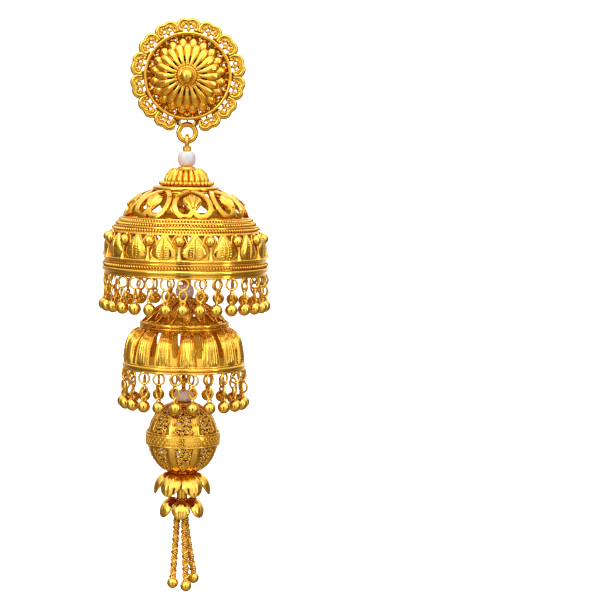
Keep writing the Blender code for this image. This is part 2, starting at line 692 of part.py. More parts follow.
def main():
    clear_scene()
    gold = material("yellow_gold", (0.86, 0.58, 0.13), 0.22, 1.0)
    white = material("seed_pearl", (0.93, 0.89, 0.86), 0.25, 0.0)

    stud = pivot("stud_place", (0, 0, 0))
    stud_rosette(gold, stud)
    stud_flower(gold, stud)
    ear_post(gold, stud)

    bell = pivot("bell_hinge", (0, DROP_Y, BELL_HINGE_Z))
    under_bell = BELL_Z - BELL_WALL - GAP
    rod = plain_rod(
        BELL_HINGE_Z - TOP_EYE_RADIUS,
        CUP_HINGE_Z + 2 * EYE_RADIUS,
        [(under_bell, COLLAR_RADIUS, COLLAR_HEIGHT)],
    )
    eyes = [(BELL_HINGE_Z, TOP_EYE_RADIUS, EYE_ACROSS_X), (CUP_HINGE_Z + EYE_RADIUS, EYE_RADIUS, EYE_ACROSS_X)]
    pin("bell_pin", rod, eyes, gold, bell)
    pearl("top_pearl", TOP_PEARL_Z, TOP_PEARL_HEIGHT, white, bell)
    bell_crown(gold, bell)
    bell_dome(gold, bell)
    rim = BELL_RADIUS - LOOP_WIRE
    foot = BELL_FOOT_Z - 2 * GAP
    fringe("bell_fringe", rim, foot, BELL_DROP_FALL, BELL_DROP_COUNT, BELL_DROP_PHASE, gold, bell)

    cup = pivot("cup_hinge", (0, DROP_Y, CUP_HINGE_Z))
    under_cup = CUP_Z - CUP_WALL - GAP
    rod = plain_rod(
        CUP_HINGE_Z - EYE_RADIUS,
        BALL_HINGE_Z + 2 * EYE_RADIUS,
        [(under_cup, COLLAR_RADIUS, COLLAR_HEIGHT)],
    )
    eyes = [(CUP_HINGE_Z, EYE_RADIUS, EYE_ACROSS_Y), (BALL_HINGE_Z + EYE_RADIUS, EYE_RADIUS, EYE_ACROSS_Y)]
    pin("cup_pin", rod, eyes, gold, cup)
    pearl("middle_pearl", MIDDLE_PEARL_Z, MIDDLE_PEARL_HEIGHT, white, cup)
    cup_dome(gold, cup)
    rim = CUP_RADIUS
    foot = CUP_FOOT_Z - 2 * GAP
    fringe("cup_fringe", rim, foot, CUP_DROP_FALL, CUP_DROP_COUNT, CUP_DROP_PHASE, gold, cup)

    ball = pivot("ball_hinge", (0, DROP_Y, BALL_HINGE_Z))
    under_upper = UPPER_WHORL_Z - WHORL_WALL - GAP
    spacer = under_upper - LOWER_WHORL_Z - GAP
    rod = plain_rod(
        BALL_HINGE_Z - EYE_RADIUS,
        CAP_Z - COLLAR_HEIGHT,
        [(under_upper, COLLAR_RADIUS * 0.8, spacer), (CAP_Z, COLLAR_RADIUS, COLLAR_HEIGHT)],
    )
    rod[-2] = (PIN_WIRE, CAP_Z - COLLAR_HEIGHT)
    rod = [point for k, point in enumerate(rod) if k == 0 or point != rod[k - 1]]
    pin("ball_pin", rod, [(BALL_HINGE_Z, EYE_RADIUS, EYE_ACROSS_X)], gold, ball)
    pearl("lower_pearl", LOWER_PEARL_Z, LOWER_PEARL_HEIGHT, white, ball)
    filigree_ball(gold, ball)
    petal_whorl("upper_petals", UPPER_WHORL_Z, UPPER_WHORL_RADIUS, UPPER_WHORL_FALL, 30, gold, ball)
    petal_whorl("lower_petals", LOWER_WHORL_Z, LOWER_WHORL_RADIUS, LOWER_WHORL_FALL, 0, gold, ball)
    for name, top, end in CHAINS:
        chain(name, top, end, gold, ball)


main()
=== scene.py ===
"""A jhumka drop earring of worked yellow gold with three seed pearls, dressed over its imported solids.

Metres, +Z up, and the earring faces -Y. Everything below the stud hangs on one upright axis.
"""

import bmesh
import bpy
from math import atan2, cos, exp, hypot, pi, radians, sin

from mathutils import Matrix, Vector
from mathutils.geometry import delaunay_2d_cdt


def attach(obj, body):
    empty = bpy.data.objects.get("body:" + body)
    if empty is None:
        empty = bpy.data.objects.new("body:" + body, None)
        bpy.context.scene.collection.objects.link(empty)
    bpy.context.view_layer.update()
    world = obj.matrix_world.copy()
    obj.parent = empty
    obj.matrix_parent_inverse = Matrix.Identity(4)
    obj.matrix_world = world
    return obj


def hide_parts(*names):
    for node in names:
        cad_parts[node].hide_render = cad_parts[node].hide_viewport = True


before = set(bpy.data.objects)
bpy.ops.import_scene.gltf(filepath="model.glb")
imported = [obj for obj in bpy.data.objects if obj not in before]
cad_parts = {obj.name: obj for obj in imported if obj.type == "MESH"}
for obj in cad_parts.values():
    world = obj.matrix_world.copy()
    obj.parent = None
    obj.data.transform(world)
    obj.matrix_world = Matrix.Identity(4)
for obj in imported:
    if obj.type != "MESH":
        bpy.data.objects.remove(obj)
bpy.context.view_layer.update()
MM = 0.001


# Camera: 40 cm in front of the earring, at the height of its stud, and aimed a little down.
# It is rolled by a degree, so that the earring leans as it does in the photograph.
CAMERA_PLACE = Vector((0.01925, -0.400, -0.0033))
CAMERA_AIM = Vector((0.01925, 0.0, -0.0370))
CAMERA_ROLL = 1.05
VIEW_WIDTH = 100.5 * MM

camera = bpy.data.objects.new("camera", bpy.data.cameras.new("camera"))
bpy.context.scene.collection.objects.link(camera)
towards = CAMERA_AIM - CAMERA_PLACE
roll = Matrix.Rotation(radians(CAMERA_ROLL), 3, "Z").to_quaternion()
camera.location = CAMERA_PLACE
camera.rotation_mode = "QUATERNION"
camera.rotation_quaternion = towards.to_track_quat("-Z", "Y") @ roll
camera.data.lens = camera.data.sensor_width * towards.length / VIEW_WIDTH
camera.data.clip_start = 0.02
camera.data.clip_end = 20.0
bpy.context.scene.camera = camera


# Studio: pale paper that sweeps up all round and is seen by the camera alone, and four soft panels of light.
# Polished gold mirrors the room, which is bright above, dim below and at the sides, and dark at the lens.
FLOOR_HEIGHT = -0.34
SWEEP_SIDES = 96
SWEEP_LINE = [(0.0, 0.0), (1.1, 0.0), (1.35, 0.03), (1.55, 0.14), (1.65, 0.32), (1.7, 0.6), (1.7, 2.6)]
PALE = (0.93, 0.93, 0.93, 1.0)
PAPER_ROUGHNESS = 0.9
PAPER_GLOW = 0.95
PANELS = [
    # name, place, size, watts
    ("panel_left", (-0.40, -0.42, 0.20), (0.14, 0.34), 0.70),
    ("panel_right", (0.52, -0.26, 0.10), (0.10, 0.44), 0.50),
    ("panel_top", (0.0, -0.16, 0.55), (0.36, 0.14), 0.80),
    ("panel_back", (0.05, 0.45, 0.10), (0.50, 0.40), 0.30),
]
PANEL_AIM = Vector((0, 0, -0.04))

# Each part of the room: where it begins and ends along its direction, and the light at both.
FLOOR_DIMS = (-0.90, 0.0, 0.42, 1.06)
SIDES_DIM = (0.50, 0.90, 1.0, 0.34)
BACK_DIMS = (-0.3, 0.2, 1.12, 0.60)
LENS_FRONT = (-0.80, -0.60, 1.0, 0.0)
LENS_SIDES = (0.14, 0.20, 1.0, 0.0)
LENS_FOOT = (-0.52, -0.42, 0.0, 1.0)
LENS_TOP = (0.26, 0.34, 1.0, 0.0)
LENS_DARKNESS = 0.96
TOP_GLOW = (0.28, 0.48, 0.0, 0.55)
WARM_TO_WHITE = (0.25, 0.95)
WARM_LIGHT = (1.0, 0.74, 0.42, 1.0)
WHITE_LIGHT = (1.0, 0.985, 0.96, 1.0)


def add(tree, kind, inputs=None, **settings):
    """A node and its settings. Each input is a plain value or another node's output."""
    made = tree.nodes.new(kind)
    for name, value in settings.items():
        setattr(made, name, value)
    for key, value in (inputs or {}).items():
        if isinstance(value, bpy.types.NodeSocket):
            tree.links.new(value, made.inputs[key])
        else:
            made.inputs[key].default_value = value
    return made.outputs


def ramp(tree, value, low, high, to_low=0.0, to_high=1.0):
    """A value carried smoothly from one range to another."""
    inputs = {"Value": value, "From Min": low, "From Max": high, "To Min": to_low, "To Max": to_high}
    return add(tree, "ShaderNodeMapRange", inputs, interpolation_type="SMOOTHSTEP")["Result"]


def sums(tree, operation, first, second):
    return add(tree, "ShaderNodeMath", {0: first, 1: second}, operation=operation)["Value"]


def times(tree, first, second):
    return sums(tree, "MULTIPLY", first, second)


def blend(tree, share, first, second):
    """The first colour carried into the second."""
    return add(tree, "ShaderNodeMix", {"Factor": share, 6: first, 7: second}, data_type="RGBA")[2]


sweep = bmesh.new()
line = [sweep.verts.new((radius, 0, FLOOR_HEIGHT + height)) for radius, height in SWEEP_LINE]
edges = [sweep.edges.new(pair) for pair in zip(line, line[1:])]
bmesh.ops.spin(sweep, geom=line + edges, axis=(0, 0, 1), angle=2 * pi, steps=SWEEP_SIDES, use_merge=True)
bmesh.ops.remove_doubles(sweep, verts=sweep.verts, dist=0.001)
bmesh.ops.recalc_face_normals(sweep, faces=sweep.faces)
sweep_mesh = bpy.data.meshes.new("studio_sweep")
sweep.to_mesh(sweep_mesh)
sweep.free()
sweep_mesh.shade_smooth()
paper = bpy.data.materials.new("pale_paper")
paper.use_nodes = True
paper_shader = paper.node_tree.nodes["Principled BSDF"]
paper_shader.inputs["Base Color"].default_value = PALE
paper_shader.inputs["Roughness"].default_value = PAPER_ROUGHNESS
paper_shader.inputs["Emission Color"].default_value = PALE
paper_shader.inputs["Emission Strength"].default_value = PAPER_GLOW
sweep_mesh.materials.append(paper)
sweep_object = bpy.data.objects.new("studio_sweep", sweep_mesh)
sweep_object.visible_glossy = False
sweep_object.visible_diffuse = False
sweep_object.visible_shadow = False
bpy.context.scene.collection.objects.link(sweep_object)

for name, place, size, watts in PANELS:
    panel = bpy.data.objects.new(name, bpy.data.lights.new(name, "AREA"))
    panel.data.shape = "RECTANGLE"
    panel.data.size, panel.data.size_y = size
    panel.data.energy = watts
    panel.location = place
    panel.rotation_euler = (PANEL_AIM - Vector(place)).to_track_quat("-Z", "Y").to_euler()
    bpy.context.scene.collection.objects.link(panel)

room = bpy.data.worlds.new("studio_room")
room.use_nodes = True
bpy.context.scene.world = room
tree = room.node_tree
direction = add(tree, "ShaderNodeTexCoord")["Generated"]
parts = add(tree, "ShaderNodeSeparateXYZ", {"Vector": direction})
side = sums(tree, "ABSOLUTE", parts["X"], 0.0)
lens = times(tree, ramp(tree, parts["Y"], *LENS_FRONT), ramp(tree, side, *LENS_SIDES))
lens_tall = times(tree, ramp(tree, parts["Z"], *LENS_FOOT), ramp(tree, parts["Z"], *LENS_TOP))
lens = times(tree, times(tree, lens, lens_tall), LENS_DARKNESS)
walls = times(tree, ramp(tree, parts["Z"], *FLOOR_DIMS), ramp(tree, side, *SIDES_DIM))
back = times(tree, ramp(tree, parts["Y"], *BACK_DIMS), sums(tree, "SUBTRACT", 1.0, lens))
level = sums(tree, "ADD", times(tree, walls, back), ramp(tree, parts["Z"], *TOP_GLOW))
tint = blend(tree, ramp(tree, level, *WARM_TO_WHITE), WARM_LIGHT, WHITE_LIGHT)
light = add(tree, "ShaderNodeBackground", {"Color": tint, "Strength": level})["Background"]
tree.links.new(light, tree.nodes["World Output"].inputs["Surface"])
bpy.context.scene.view_settings.view_transform = "Standard"


# Gold: 22 carat, deep in colour. What stands out is polished smooth by rubbing, and recesses stay duller and
# rougher.
# Painted shade darkens the recesses and the insides of the hollows to a deeper orange, for the shade and the
# mirrored gold that fill them.
BRIGHT_GOLD = (0.96, 0.61, 0.105, 1.0)
WORKED_GOLD = (0.96, 0.59, 0.085, 1.0)
# The colour of the painted shade in recesses and hollows.
PAINTED_SHADE_GOLD = (0.64, 0.25, 0.008, 1.0)
# How far the painted shade looks across a hollow, so that the insides of the bell and the dome are darkened.
ROOM_REACH = 18 * MM
HOLLOW_OPENS = (0.22, 0.82)
ROOM_OPENS = (0.24, 0.60)
PATCH_SCALE = 420.0
PATCH_SHADE = (0.2, 0.8, 0.82, 1.0)
GRAIN_ROUGHNESS = (0.3, 0.7, 0.0, 0.07)
HOLLOW_ROUGHNESS = (0.0, 1.0, 0.14, 0.0)
SHADE_SAMPLES = 6


def shader_group(name, inputs, outputs):
    """An empty group with its sockets, and the sockets' inner ends."""
    group = bpy.data.node_groups.new(name, "ShaderNodeTree")
    for label, kind, value in inputs:
        group.interface.new_socket(label, in_out="INPUT", socket_type=kind).default_value = value
    for label, kind in outputs:
        group.interface.new_socket(label, in_out="OUTPUT", socket_type=kind)
    return group, add(group, "NodeGroupInput"), group.nodes.new("NodeGroupOutput").inputs


def openness(tree, reach):
    """How open the surface is within this reach, from 0 to 1."""
    return add(tree, "ShaderNodeAmbientOcclusion", {"Distance": reach}, samples=SHADE_SAMPLES)["AO"]


def clouds(tree, vector, scale, detail):
    return add(tree, "ShaderNodeTexNoise", {"Vector": vector, "Scale": scale, "Detail": detail})["Fac"]


inputs = [
    ("Pattern", "NodeSocketVector", (0, 0, 0)),
    ("Bright", "NodeSocketColor", (1, 1, 1, 1)),
    ("Painted shade", "NodeSocketColor", (0, 0, 0, 1)),
    ("Reach", "NodeSocketFloat", 0.001),
    ("Room", "NodeSocketFloat", ROOM_REACH),
    ("Polish", "NodeSocketFloat", 0.2),
    ("Grain size", "NodeSocketFloat", 0.0005),
]
outputs = [("Color", "NodeSocketColor"), ("Roughness", "NodeSocketFloat"), ("Height", "NodeSocketFloat")]
gold_with_painted_shade, given, results = shader_group("gold_painted_recess_shade", inputs, outputs)
tree = gold_with_painted_shade
# Painted shade: where nearby gold closes the surface in, in recesses and across the hollows, the colour goes
# over to the shade colour. Cloudy patches vary it a little at random.
hollow = ramp(tree, openness(tree, given["Reach"]), *HOLLOW_OPENS)
open_part = times(tree, hollow, ramp(tree, openness(tree, given["Room"]), *ROOM_OPENS))
patch = clouds(tree, given["Pattern"], PATCH_SCALE, 2.0)
grain = clouds(tree, given["Pattern"], sums(tree, "DIVIDE", 1.0, given["Grain size"]), 3.0)
share = times(tree, open_part, ramp(tree, patch, *PATCH_SHADE))
tree.links.new(blend(tree, share, given["Painted shade"], given["Bright"]), results["Color"])
rough = sums(tree, "ADD", given["Polish"], ramp(tree, grain, *GRAIN_ROUGHNESS))
dull = sums(tree, "ADD", rough, ramp(tree, open_part, *HOLLOW_ROUGHNESS))
tree.links.new(dull, results["Roughness"])
tree.links.new(grain, results["Height"])


def finish(name, effect, values):
    """A material with an effect's colour and roughness, and its shader and placed group."""
    coat = bpy.data.materials.new(name)
    coat.use_nodes = True
    tree = coat.node_tree
    shader = tree.nodes["Principled BSDF"]
    group = tree.nodes.new("ShaderNodeGroup")
    group.node_tree = effect
    tree.links.new(add(tree, "ShaderNodeTexCoord")["Object"], group.inputs["Pattern"])
    for label, value in values.items():
        group.inputs[label].default_value = value
    tree.links.new(group.outputs["Color"], shader.inputs["Base Color"])
    tree.links.new(group.outputs["Roughness"], shader.inputs["Roughness"])
    return coat, shader, group


def gold(name, bright, polish, reach, grain_size, grain_depth):
    """A gold finish. Its sizes are in metres."""
    values = {"Bright": bright, "Painted shade": PAINTED_SHADE_GOLD, "Polish": polish}
    values.update({"Reach": reach, "Grain size": grain_size})
    coat, shader, group = finish(name, gold_with_painted_shade, values)
    shader.inputs["Metallic"].default_value = 1.0
    relief = {"Height": group.outputs["Height"], "Distance": grain_depth, "Strength": 1.0}
    bump = add(coat.node_tree, "ShaderNodeBump", relief)["Normal"]
    coat.node_tree.links.new(bump, shader.inputs["Normal"])
    return coat


smooth_gold = gold("smooth_gold", BRIGHT_GOLD, 0.06, 0.8 * MM, 0.6 * MM, 0.002 * MM)
worked_gold = gold("worked_gold", WORKED_GOLD, 0.10, 1.0 * MM, 0.35 * MM, 0.003 * MM)


# Ear post: the straight wire that goes through the ear, drawn from gold and rounded at its tip.
# It stands on a round plate of sheet gold behind the stud, and is soldered to it.
PLATE_RADIUS = 5.6 * MM
PLATE_THICKNESS = 0.5 * MM
POST_RADIUS = 0.4 * MM
POST_LENGTH = 10.5 * MM
POST_SIDES = 64
TO_FRONT = Matrix.Rotation(radians(90), 4, "X")
DROP_AXIS = Matrix.Translation((0, -0.8 * MM, 0))
MARKS = ("solid", "wire", "bead")


def turned(bm, profile, sides, closed=False):
    """A body turned about Z from (radius, height) points, which run down its outer side."""
    rings = []
    for radius, height in profile:
        count = 1 if radius < 1e-7 else sides
        turns = [2 * pi * k / sides for k in range(count)]
        rings.append([bm.verts.new(Vector((radius * cos(t), radius * sin(t), height))) for t in turns])
    pairs = list(zip(rings, rings[1:]))
    if closed:
        pairs.append((rings[-1], rings[0]))
    for upper, lower in pairs:
        for k in range(sides):
            corners = [upper[k % len(upper)], lower[k % len(lower)]]
            if len(lower) > 1:
                corners.append(lower[(k + 1) % sides])
            if len(upper) > 1:
                corners.append(upper[(k + 1) % sides])
            bm.faces.new(corners)


def rounded(points, amount, steps=4):
    """The same profile with each corner rounded off by this much."""
    drawn = [points[0]]
    for before, here, after in zip(points, points[1:], points[2:]):
        a, b, c = Vector(before), Vector(here), Vector(after)
        cut = min(amount, (a - b).length * 0.45, (c - b).length * 0.45)
        start = b + (a - b).normalized() * cut
        end = b + (c - b).normalized() * cut
        for k in range(steps + 1):
            t = k / steps
            drawn.append(tuple(start * (1 - t) ** 2 + b * 2 * t * (1 - t) + end * t**2))
    return drawn + [points[-1]]


def as_mesh(bm):
    mesh = bpy.data.meshes.new("working_mesh")
    bm.to_mesh(mesh)
    bm.free()
    return mesh


def dress(name, meshes, coat, body, nodes, place=DROP_AXIS, crease=42):
    """Joins the meshes to one finished piece on its body, in place of the CAD nodes that it stands for."""
    bm = bmesh.new()
    for mesh in meshes:
        bm.from_mesh(mesh)
        bpy.data.meshes.remove(mesh)
    bmesh.ops.transform(bm, matrix=place, verts=bm.verts)
    bmesh.ops.recalc_face_normals(bm, faces=bm.faces)
    mesh = bpy.data.meshes.new(name)
    bm.to_mesh(mesh)
    bm.free()
    for mark in MARKS:
        if mark in mesh.attributes:
            mesh.attributes.remove(mesh.attributes[mark])
    mesh.materials.clear()
    mesh.materials.append(coat)
    mesh.shade_smooth()
    mesh.set_sharp_from_angle(angle=radians(crease))
    piece = bpy.data.objects.new(name, mesh)
    bpy.context.scene.collection.objects.link(piece)
    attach(piece, body)
    if nodes:
        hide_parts(*nodes)
    return piece


plate_line = [
    (0.0, PLATE_THICKNESS),
    (PLATE_RADIUS, PLATE_THICKNESS),
    (PLATE_RADIUS, 0.0),
    (POST_RADIUS * 2.2, 0.0),
    (POST_RADIUS, -POST_RADIUS),
    (POST_RADIUS, POST_RADIUS - POST_LENGTH),
    (POST_RADIUS * 0.6, -POST_LENGTH),
]
post = bmesh.new()
turned(post, rounded(plate_line, 0.18 * MM) + [(0.0, -POST_LENGTH)], POST_SIDES)
dress("post_and_plate", [as_mesh(post)], smooth_gold, "stud", ["ear_post"], TO_FRONT)


# Stud rosette: a pierced sheet of gold with a ring of plain wire, and scallops of heavier wire round it.
# Fine curls and granules fill the scallops. The hanger ring takes the lowest place, all soldered solid.
FRONT = -pi / 2
STUD_RADIUS = 9.75 * MM
RING_RADIUS = 7.0 * MM
WEB_RADIUS = 4.9 * MM
SHEET = 0.5 * MM
SHEET_FRONT = PLATE_THICKNESS + 0.15 * MM + SHEET
SCALLOPS = 14
SCALLOP_REACH = 8.6
HANGER_RADIUS = 1.4 * MM
HANGER_WIRE = 0.46 * MM
HANGER_HEIGHT = -9.4 * MM
HANGER_DEPTH = 0.8 * MM
LUG_TOP = 8.35 * MM
LUG_HALF_WIDTH = 1.8 * MM
HANGER_PLACE_SHARE = 0.985
BORDER_WIRE = 0.46 * MM
FINE_WIRE = 0.19 * MM
RING_REACH = RING_RADIUS + 0.05 * MM
RING_WIRES = [(0.75 * MM, 0.27 * MM), (0.30 * MM, 0.24 * MM)]
WEB_WIRE = 0.30 * MM
LUG_WIRE = 0.24 * MM
HOOP_POINTS = 96
WALL_STEPS = 6
WEB_RUN = (0, 1)
SCALLOP_RUN = (1, 2)


def smooth(points, steps, closed=False):
    """A curve through the points, with this many steps between each two."""
    count = len(points)
    drawn = []
    for k in range(count if closed else count - 1):
        around = [(k + j) % count if closed else min(max(k + j, 0), count - 1) for j in (-1, 0, 1, 2)]
        corners = list(zip(*(points[j] for j in around)))
        for step in range(steps):
            t = step / steps
            place = []
            for a, b, c, d in corners:
                value = 2 * b + (c - a) * t + (2 * a - 5 * b + 4 * c - d) * t * t
                place.append(0.5 * (value + (3 * b - a - 3 * c + d) * t**3))
            drawn.append(tuple(place))
    return drawn if closed else drawn + [tuple(points[-1])]


def both_sides(points):
    """A half outline and its mirror image, joined at its last point."""
    return points + [(-a, b) for a, b in points[-2::-1]]


def table(points, x):
    """A value read between the rows of a table of (x, value)."""
    for (x0, y0), (x1, y1) in zip(points, points[1:]):
        if x <= x1:
            return y0 + (y1 - y0) * (x - x0) / (x1 - x0)
    return points[-1][1]


def geometry_tree(name, sockets):
    """A new tree with these named inputs, and their inner ends."""
    tree = bpy.data.node_groups.new(name, "GeometryNodeTree")
    for label, kind in [("Geometry", "Geometry"), *sockets, ("Material", "Material")]:
        tree.interface.new_socket(label, in_out="INPUT", socket_type="NodeSocket" + kind)
    tree.interface.new_socket("Geometry", in_out="OUTPUT", socket_type="NodeSocketGeometry")
    return tree, add(tree, "NodeGroupInput")


def circle(tree, sides, radius):
    return add(tree, "GeometryNodeCurvePrimitiveCircle", {"Resolution": sides, "Radius": radius})["Curve"]


def vector(tree, **values):
    return add(tree, "ShaderNodeCombineXYZ", values)["Vector"]


def copies(tree, points, shape, rotation):
    copied = {"Points": points, "Instance": shape, "Rotation": rotation}
    return add(tree, "GeometryNodeInstanceOnPoints", copied)["Instances"]


def finish_tree(tree, instances, coat):
    """The copies made real and given their material, as the tree's result."""
    real = add(tree, "GeometryNodeRealizeInstances", {"Geometry": instances})["Geometry"]
    coated = add(tree, "GeometryNodeSetMaterial", {"Geometry": real, "Material": coat})["Geometry"]
    tree.links.new(coated, tree.nodes.new("NodeGroupOutput").inputs["Geometry"])


def turn_of_each(tree, given, count):
    """The turn of each repeat round Z."""
    step = sums(tree, "DIVIDE", 2 * pi, given[count])
    index = add(tree, "GeometryNodeInputIndex")["Index"]
    return index, sums(tree, "ADD", given["Start angle"], times(tree, index, step))


def repeats_tree():
    """Solids, lines swept to round wires and points set with beads, all repeated round Z."""
    sockets = [("Repeats", "Int"), ("Start angle", "Float"), ("Wire sides", "Int"), ("Bead sides", "Int")]
    tree, given = geometry_tree("repeats_round_an_axis", sockets)
    found = []
    for name in MARKS:
        mark = add(tree, "GeometryNodeInputNamedAttribute", {"Name": name}, data_type="FLOAT")
        found.append(mark["Attribute"])
    solid, wire, bead = found
    is_solid = add(tree, "FunctionNodeCompare", {0: solid, 1: 0.5}, operation="GREATER_THAN")["Result"]
    parted = {"Geometry": given["Geometry"], "Selection": is_solid}
    split = add(tree, "GeometryNodeSeparateGeometry", parted, domain="POINT")
    lines = add(tree, "GeometryNodeMeshToCurve", {"Mesh": split["Inverted"]})["Curve"]
    section = circle(tree, given["Wire sides"], 1.0)
    swept = {"Curve": lines, "Profile Curve": section, "Scale": wire, "Fill Caps": True}
    wires = add(tree, "GeometryNodeCurveToMesh", swept)["Mesh"]
    is_bead = add(tree, "FunctionNodeCompare", {0: bead, 1: 0.0}, operation="GREATER_THAN")["Result"]
    rows = sums(tree, "DIVIDE", given["Bead sides"], 2.0)
    ball = {"Segments": given["Bead sides"], "Rings": rows, "Radius": 1.0}
    ball = add(tree, "GeometryNodeMeshUVSphere", ball)["Mesh"]
    set_beads = {"Points": split["Inverted"], "Selection": is_bead, "Instance": ball, "Scale": bead}
    beads = add(tree, "GeometryNodeInstanceOnPoints", set_beads)["Instances"]
    joined = tree.nodes.new("GeometryNodeJoinGeometry")
    for part in (beads, wires, split["Selection"]):
        tree.links.new(part, joined.inputs["Geometry"])
    _, turn = turn_of_each(tree, given, "Repeats")
    places = add(tree, "GeometryNodePoints", {"Count": given["Repeats"]})["Points"]
    made = copies(tree, places, joined.outputs["Geometry"], vector(tree, Z=turn))
    finish_tree(tree, made, given["Material"])
    return tree


ROUND_AN_AXIS = repeats_tree()


def made_by(tree, mesh, values, coat):
    """The plain mesh that a node tree makes from a mesh, the values of its named inputs and a material."""
    values = {**values, "Material": coat}
    carrier = bpy.data.objects.new("carrier", mesh)
    modifier = carrier.modifiers.new("repeats", "NODES")
    modifier.node_group = tree
    for item in tree.interface.items_tree:
        if item.name in values:
            modifier[item.identifier] = values[item.name]
    bpy.context.scene.collection.objects.link(carrier)
    graph = bpy.context.evaluated_depsgraph_get()
    made = bpy.data.meshes.new_from_object(carrier.evaluated_get(graph))
    bpy.data.objects.remove(carrier)
    bpy.data.meshes.remove(mesh)
    return made


class Work:
    """One repeat of a piece: closed solids, lines that become wires and points that become beads."""

    def __init__(self):
        self.bm = bmesh.new()
        self.layers = {name: self.bm.verts.layers.float.new(name) for name in MARKS}

    def corner(self, point, mark, value):
        made = self.bm.verts.new(point)
        made[self.layers[mark]] = value
        return made

    def wire(self, points, radius, closed=False):
        """A round wire through the points. Its radius is one value, or one for each point."""
        radii = radius if isinstance(radius, list) else [radius] * len(points)
        made = [self.corner(point, "wire", size) for point, size in zip(points, radii)]
        for start, end in zip(made, made[1:] + made[:1] if closed else made[1:]):
            self.bm.edges.new((start, end))

    def bead(self, point, radius):
        self.corner(point, "bead", radius)

    def pillow(self, spot, start, end, outline, lift, under, rows, columns):
        """A raised leaf down a wall. Its outline gives the half width at t, and lift(t, v) its height."""
        sheets = []
        for top in (True, False):
            sheet = []
            for k in range(rows + 1):
                t = 0.5 - 0.5 * cos(pi * k / rows)
                wide = table(outline, t)
                across = [-1 + 2 * j / columns for j in range(columns + 1)]
                heights = [lift(t, v) if top else -under for v in across]
                line = [spot(v * wide, start + (end - start) * t, h) for v, h in zip(across, heights)]
                sheet.append([self.corner(point, "solid", 1.0) for point in line])
            sheets.append(sheet)
            for upper, lower in zip(sheet, sheet[1:]):
                for j in range(columns):
                    self.bm.faces.new([upper[j], lower[j], lower[j + 1], upper[j + 1]])
        borders = []
        for sheet in sheets:
            down = [line[-1] for line in sheet[1:]]
            up = [line[0] for line in sheet[-2:0:-1]]
            borders.append(sheet[0] + down + sheet[-1][-2::-1] + up)
        rim, base = borders
        for k in range(len(rim)):
            after = (k + 1) % len(rim)
            self.bm.faces.new([rim[k], rim[after], base[after], base[k]])

    def ribbon(self, wall, repeats, line, half, lift, under):
        """A flat ribbon with softened edges, laid on a wall along a line of (across, length)."""
        spot = wall.tile(repeats)
        edge, shoulder = 0.3 * lift, 0.9 * lift
        section = [(-1, -under), (-1, edge), (-0.78, shoulder), (0, lift)]
        section += [(0.78, shoulder), (1, edge), (1, -under)]
        before = None
        for k, (across, length) in enumerate(line):
            wide = wall.place(length)[0] * pi / repeats
            a, b = line[max(k - 1, 0)], line[min(k + 1, len(line) - 1)]
            along = Vector(((b[0] - a[0]) * wide, b[1] - a[1])).normalized()
            row = []
            for side, up in section:
                place = spot(across + along.y * side * half / wide, length - along.x * side * half, up)
                row.append(self.corner(place, "solid", 1.0))
            if before:
                for upper, lower in zip(zip(before, before[1:] + before[:1]), zip(row, row[1:] + row[:1])):
                    self.bm.faces.new([upper[0], upper[1], lower[1], lower[0]])
            else:
                self.bm.faces.new(row[::-1])
            before = row
        self.bm.faces.new(before)

    def repeated(self, repeats=1, phase=0.0, wire_sides=8, bead_sides=12):
        values = {"Repeats": repeats, "Start angle": radians(phase), "Wire sides": wire_sides}
        values["Bead sides"] = bead_sides
        return made_by(ROUND_AN_AXIS, as_mesh(self.bm), values, worked_gold)


class Wall:
    """The outer line of a turned wall, in smooth runs that meet at corners. marks are its given points."""

    def __init__(self, *runs):
        self.line = [runs[0][0]]
        self.lengths = [0.0]
        self.marks = [0.0]
        for run in runs:
            drawn = smooth(run, WALL_STEPS)
            for k in range(1, len(drawn)):
                step = hypot(drawn[k][0] - self.line[-1][0], drawn[k][1] - self.line[-1][1])
                self.lengths.append(self.lengths[-1] + step)
                self.line.append(drawn[k])
                if k % WALL_STEPS == 0:
                    self.marks.append(self.lengths[-1])
        slopes = []
        for (r0, z0), (r1, z1) in zip(self.line, self.line[1:]):
            slopes.append(Vector((z0 - z1, r1 - r0)).normalized())
        self.normals = [slopes[0]]
        self.normals += [(a + b).normalized() for a, b in zip(slopes, slopes[1:])]
        self.normals += [slopes[-1]]

    def at(self, mark, onward=None, share=0.0):
        """The length down the line of a mark, or of a share of the way from it to another."""
        here = self.marks[mark]
        return here if onward is None else here + share * (self.marks[onward] - here)

    def along(self, run, line, side=1):
        """A line of (across, share of the run) as (across, length). side -1 mirrors it."""
        return [(side * across, self.at(*run, share)) for across, share in line]

    def place(self, length):
        """(radius, height, outward radius, outward height) at a length down the line."""
        low, high = 0, len(self.lengths) - 1
        while high - low > 1:
            middle = (low + high) // 2
            low, high = (middle, high) if self.lengths[middle] <= length else (low, middle)
        share = (length - self.lengths[low]) / (self.lengths[high] - self.lengths[low])
        outward = self.normals[low].lerp(self.normals[high], share).normalized()
        (r0, z0), (r1, z1) = self.line[low], self.line[high]
        return r0 + (r1 - r0) * share, z0 + (z1 - z0) * share, outward.x, outward.y

    def spot(self, turn, length, lift=0.0):
        radius, height, out_r, out_z = self.place(length)
        radius += out_r * lift
        return Vector((radius * cos(turn), radius * sin(turn), height + out_z * lift))

    def tile(self, repeats):
        """Places on one repeat of the wall, whose across runs from -1 to 1."""
        return lambda across, length, lift=0.0: self.spot(FRONT + across * pi / repeats, length, lift)


def inside(point, polygon):
    x, y = point
    within = False
    for (x0, y0), (x1, y1) in zip(polygon, polygon[1:] + polygon[:1]):
        if (y0 > y) != (y1 > y) and x < x0 + (x1 - x0) * (y - y0) / (y1 - y0):
            within = not within
    return within


